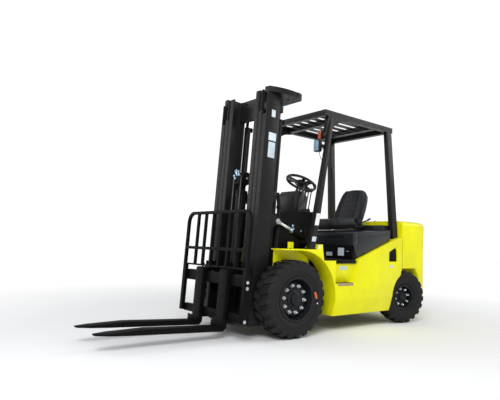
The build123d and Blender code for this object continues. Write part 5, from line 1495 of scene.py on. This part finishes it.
@dataclass
class Seat:
    """Upholstered seat: bolstered cushion and back with sewn channels, shell, hinges, runners and buckle."""

    half: float = 0.232
    front: float = 0.845
    back_y: float = 1.235
    lean: float = radians(23.0)
    channel: float = 0.0055
    sewn: float = 0.0045
    thickness: float = 0.104
    fill: float = 0.85

    @staticmethod
    def bell(distance: float, width: float) -> float:
        """A bell curve's height at a distance from its middle."""
        return BELL_BASE ** (-(distance / width) ** 2)

    def pad(self, width: float, length: float, thickness: float, taper: float, channels: tuple[float, ...],
            bolster: float) -> Piece:
        """A crowned closed pad lying on the XY plane from y = 0, its top towards +Z.

        Args:
            width: Its half width.
            length: Its length.
            thickness: Its thickness.
            taper: The half width's share that is lost at the far end.
            channels: Where its sewn channels cross, as shares of its length.
            bolster: The rise of its side bolsters.

        Returns:
            The pad.
        """
        piece = fine_cube(47)
        for vertex in piece.data.vertices:
            u, v, w = vertex.co.x * 2, vertex.co.y * 2, vertex.co.z * 2
            rim = (1 - abs(u) ** 6) ** (1 / 6) * (1 - abs(v) ** 6) ** (1 / 6) if max(abs(u), abs(v)) < 1 else 0.0
            along = (v + 1) / 2
            corner = 1 - 0.06 * v ** 2 - 0.20 * v ** 6
            out = u * (corner - 0.045 * abs(w) ** 4) * width * (1 - taper * along ** 1.5)
            far = along * length - 0.5 * length * v * (0.03 * abs(w) ** 4 + 0.09 * abs(u) ** 5)
            rise = w * thickness / 2 * (0.40 + 0.60 * rim ** 0.6)
            if w > 0:
                side = max(0.0, (abs(u) - 0.62) / 0.38)
                lump = bolster * (3 * side ** 2 - 2 * side ** 3) * (1 - abs(u) ** 10)
                crown = 0.008 * (1 - (u / 0.62) ** 2) if abs(u) < 0.62 else 0.0
                groove = sum(self.channel * self.bell((along - place) * length, self.sewn) for place in channels)
                if abs(u) > 0.66:
                    groove *= 0.2
                seam = self.channel * self.bell((abs(u) - 0.64) * width, self.sewn)
                rise += (lump + crown - groove - seam) * w ** 2
            piping = 0.0025 * self.bell(abs(w) - 0.55, 0.09) if w > 0 else 0.0
            vertex.co = (out * (1 + piping), far, rise + thickness / 2)
        select(piece)
        bpy.ops.object.shade_smooth()
        smooth = piece.modifiers.new("round", "SMOOTH")
        smooth.factor = 0.4
        smooth.iterations = 1
        return apply_modifiers(piece)

    def build(self) -> None:
        """Build and dress the whole seat."""
        body = body_of("seat_cushion")
        base = 1.0155
        cushion = self.pad(self.half, self.back_y - self.front + 0.030, self.thickness, 0.02,
                           (0.30, 0.44, 0.58, 0.72), 0.022)
        rise = Matrix.Translation((0, self.front + 0.002, base + 0.006)) @ Matrix.Rotation(radians(5.0), 4, "X")
        cushion.data.transform(rise)
        finish_piece(cushion, "seat_cushion_pad", Finish.SEAT, body, ("seat_cushion",))
        back = self.pad(0.214, 0.470, self.thickness, 0.16, (0.26, 0.40, 0.54, 0.68), 0.030)
        place = (Matrix.Translation((0, self.back_y + 0.004, 1.090)) @ Matrix.Rotation(-self.lean, 4, "X")
                 @ Matrix.Rotation(pi / 2, 4, "X") @ Matrix.Translation((0, 0, -0.088)))
        back.data.transform(place)
        finish_piece(back, "seat_back_pad", Finish.SEAT, body, ("seat_back",))
        shell = slab((-0.150, 1.300, 1.135), (0.150, 1.318, 1.440), 0.010, 3)
        slant(shell, 1.135, 0.0, 0.424)
        inset(shell, (0, 1, 0), 0.030, -0.004)
        finish_piece(shell, "seat_back_shell", Finish.PLASTIC, body)
        arm = slab((0.196, 1.205, 1.045), (0.212, 1.330, 1.110), 0.006, 3)
        hinge = soften(cylinder((0.190, 1.268, 1.120), (0.222, 1.268, 1.120), 0.034, 28), 0.004, 3)
        strut = slab((0.196, 1.262, 1.110), (0.208, 1.300, 1.250), 0.004, 2)
        slant(strut, 1.110, 0.0, 0.424)
        lever = tube([(0.214, 1.272, 1.120), (0.236, 1.320, 1.128), (0.240, 1.380, 1.152)], 0.006)
        grip = soften(cylinder((0.240, 1.370, 1.148), (0.242, 1.420, 1.168), 0.011, 16), 0.003, 3)
        finish_pair(join([arm, hinge, strut, lever, grip]), "seat_hinges", Finish.GRIP, body)
        rails = slab((0.150, 0.880, 1.000), (0.178, 1.330, 1.022), 0.003)
        for vertex in rails.data.vertices:
            vertex.co.z += (vertex.co.y - 0.880) * 0.080
        bar = tube([(-0.165, 0.862, 1.012), (0.0, 0.842, 1.010), (0.165, 0.862, 1.012)], 0.005)
        finish_piece(join([mirrored_pair(rails), bar]), "seat_runners", Finish.STEEL, body)
        belt = slab((-0.246, 1.180, 1.030), (-0.236, 1.225, 1.060), 0.003)
        buckle = slab((-0.250, 1.150, 1.058), (-0.234, 1.200, 1.120), 0.005, 3)
        finish_piece(join([belt, buckle]), "belt_buckle", Finish.GRIP, body)


@dataclass
class TiltTrim:
    """Pale gland nuts and ports, and the rod clamps of the tilt cylinders."""

    x: float = 0.344
    anchor: tuple[float, float] = (0.300, 0.910)
    eye: tuple[float, float] = (-0.104, 0.702)

    def build(self) -> None:
        """Dress both tilt cylinders."""
        anchor = Vector((self.x, *self.anchor))
        y, z = self.eye
        eye = Vector((self.x, y * cos(LEAN) + z * sin(LEAN), 0.353 - y * sin(LEAN) + z * cos(LEAN)))
        run = (eye - anchor).normalized()
        gland = soften(cylinder(anchor + run * 0.188, anchor + run * 0.2085, 0.0385, 12), 0.002)
        finish_pair(gland, "tilt_glands", Finish.FITTING, "tilt_barrels")
        ports = []
        for along in (0.060, 0.172):
            base = anchor + run * along
            ports.append(cylinder(base + Vector((0, 0, 0.030)), base + Vector((0, 0, 0.052)), 0.012, 16))
            ports.append(hex_head(base + Vector((0, 0, 0.048)), UP, 0.014, 0.012))
        finish_pair(join(ports), "tilt_ports", Finish.FITTING, "tilt_barrels")
        clamp = soften(cylinder(eye - run * 0.052, eye - run * 0.022, 0.027, 6), 0.003)
        bolt = bolts([tuple(eye - run * 0.036 + Vector((0.022, 0, 0)))], X_AXIS, 0.009, 0.010)
        finish_pair(join([bolt, clamp]), "tilt_rod_clamps", Finish.STEEL, "tilt_rods")


def main() -> None:
    """Build the dressed truck and its studio."""
    logging.basicConfig(level=logging.INFO, format="%(message)s")
    Studio().build()
    PlainNodes().build()
    for assembly in (Chains(), MastTrim(), CarriageTrim(), TiltTrim(), Wheels(), BodyTrim(), CabTrim(),
                     GuardTrim(), Seat()):
        assembly.build()


if __name__ == "__main__":
    main()
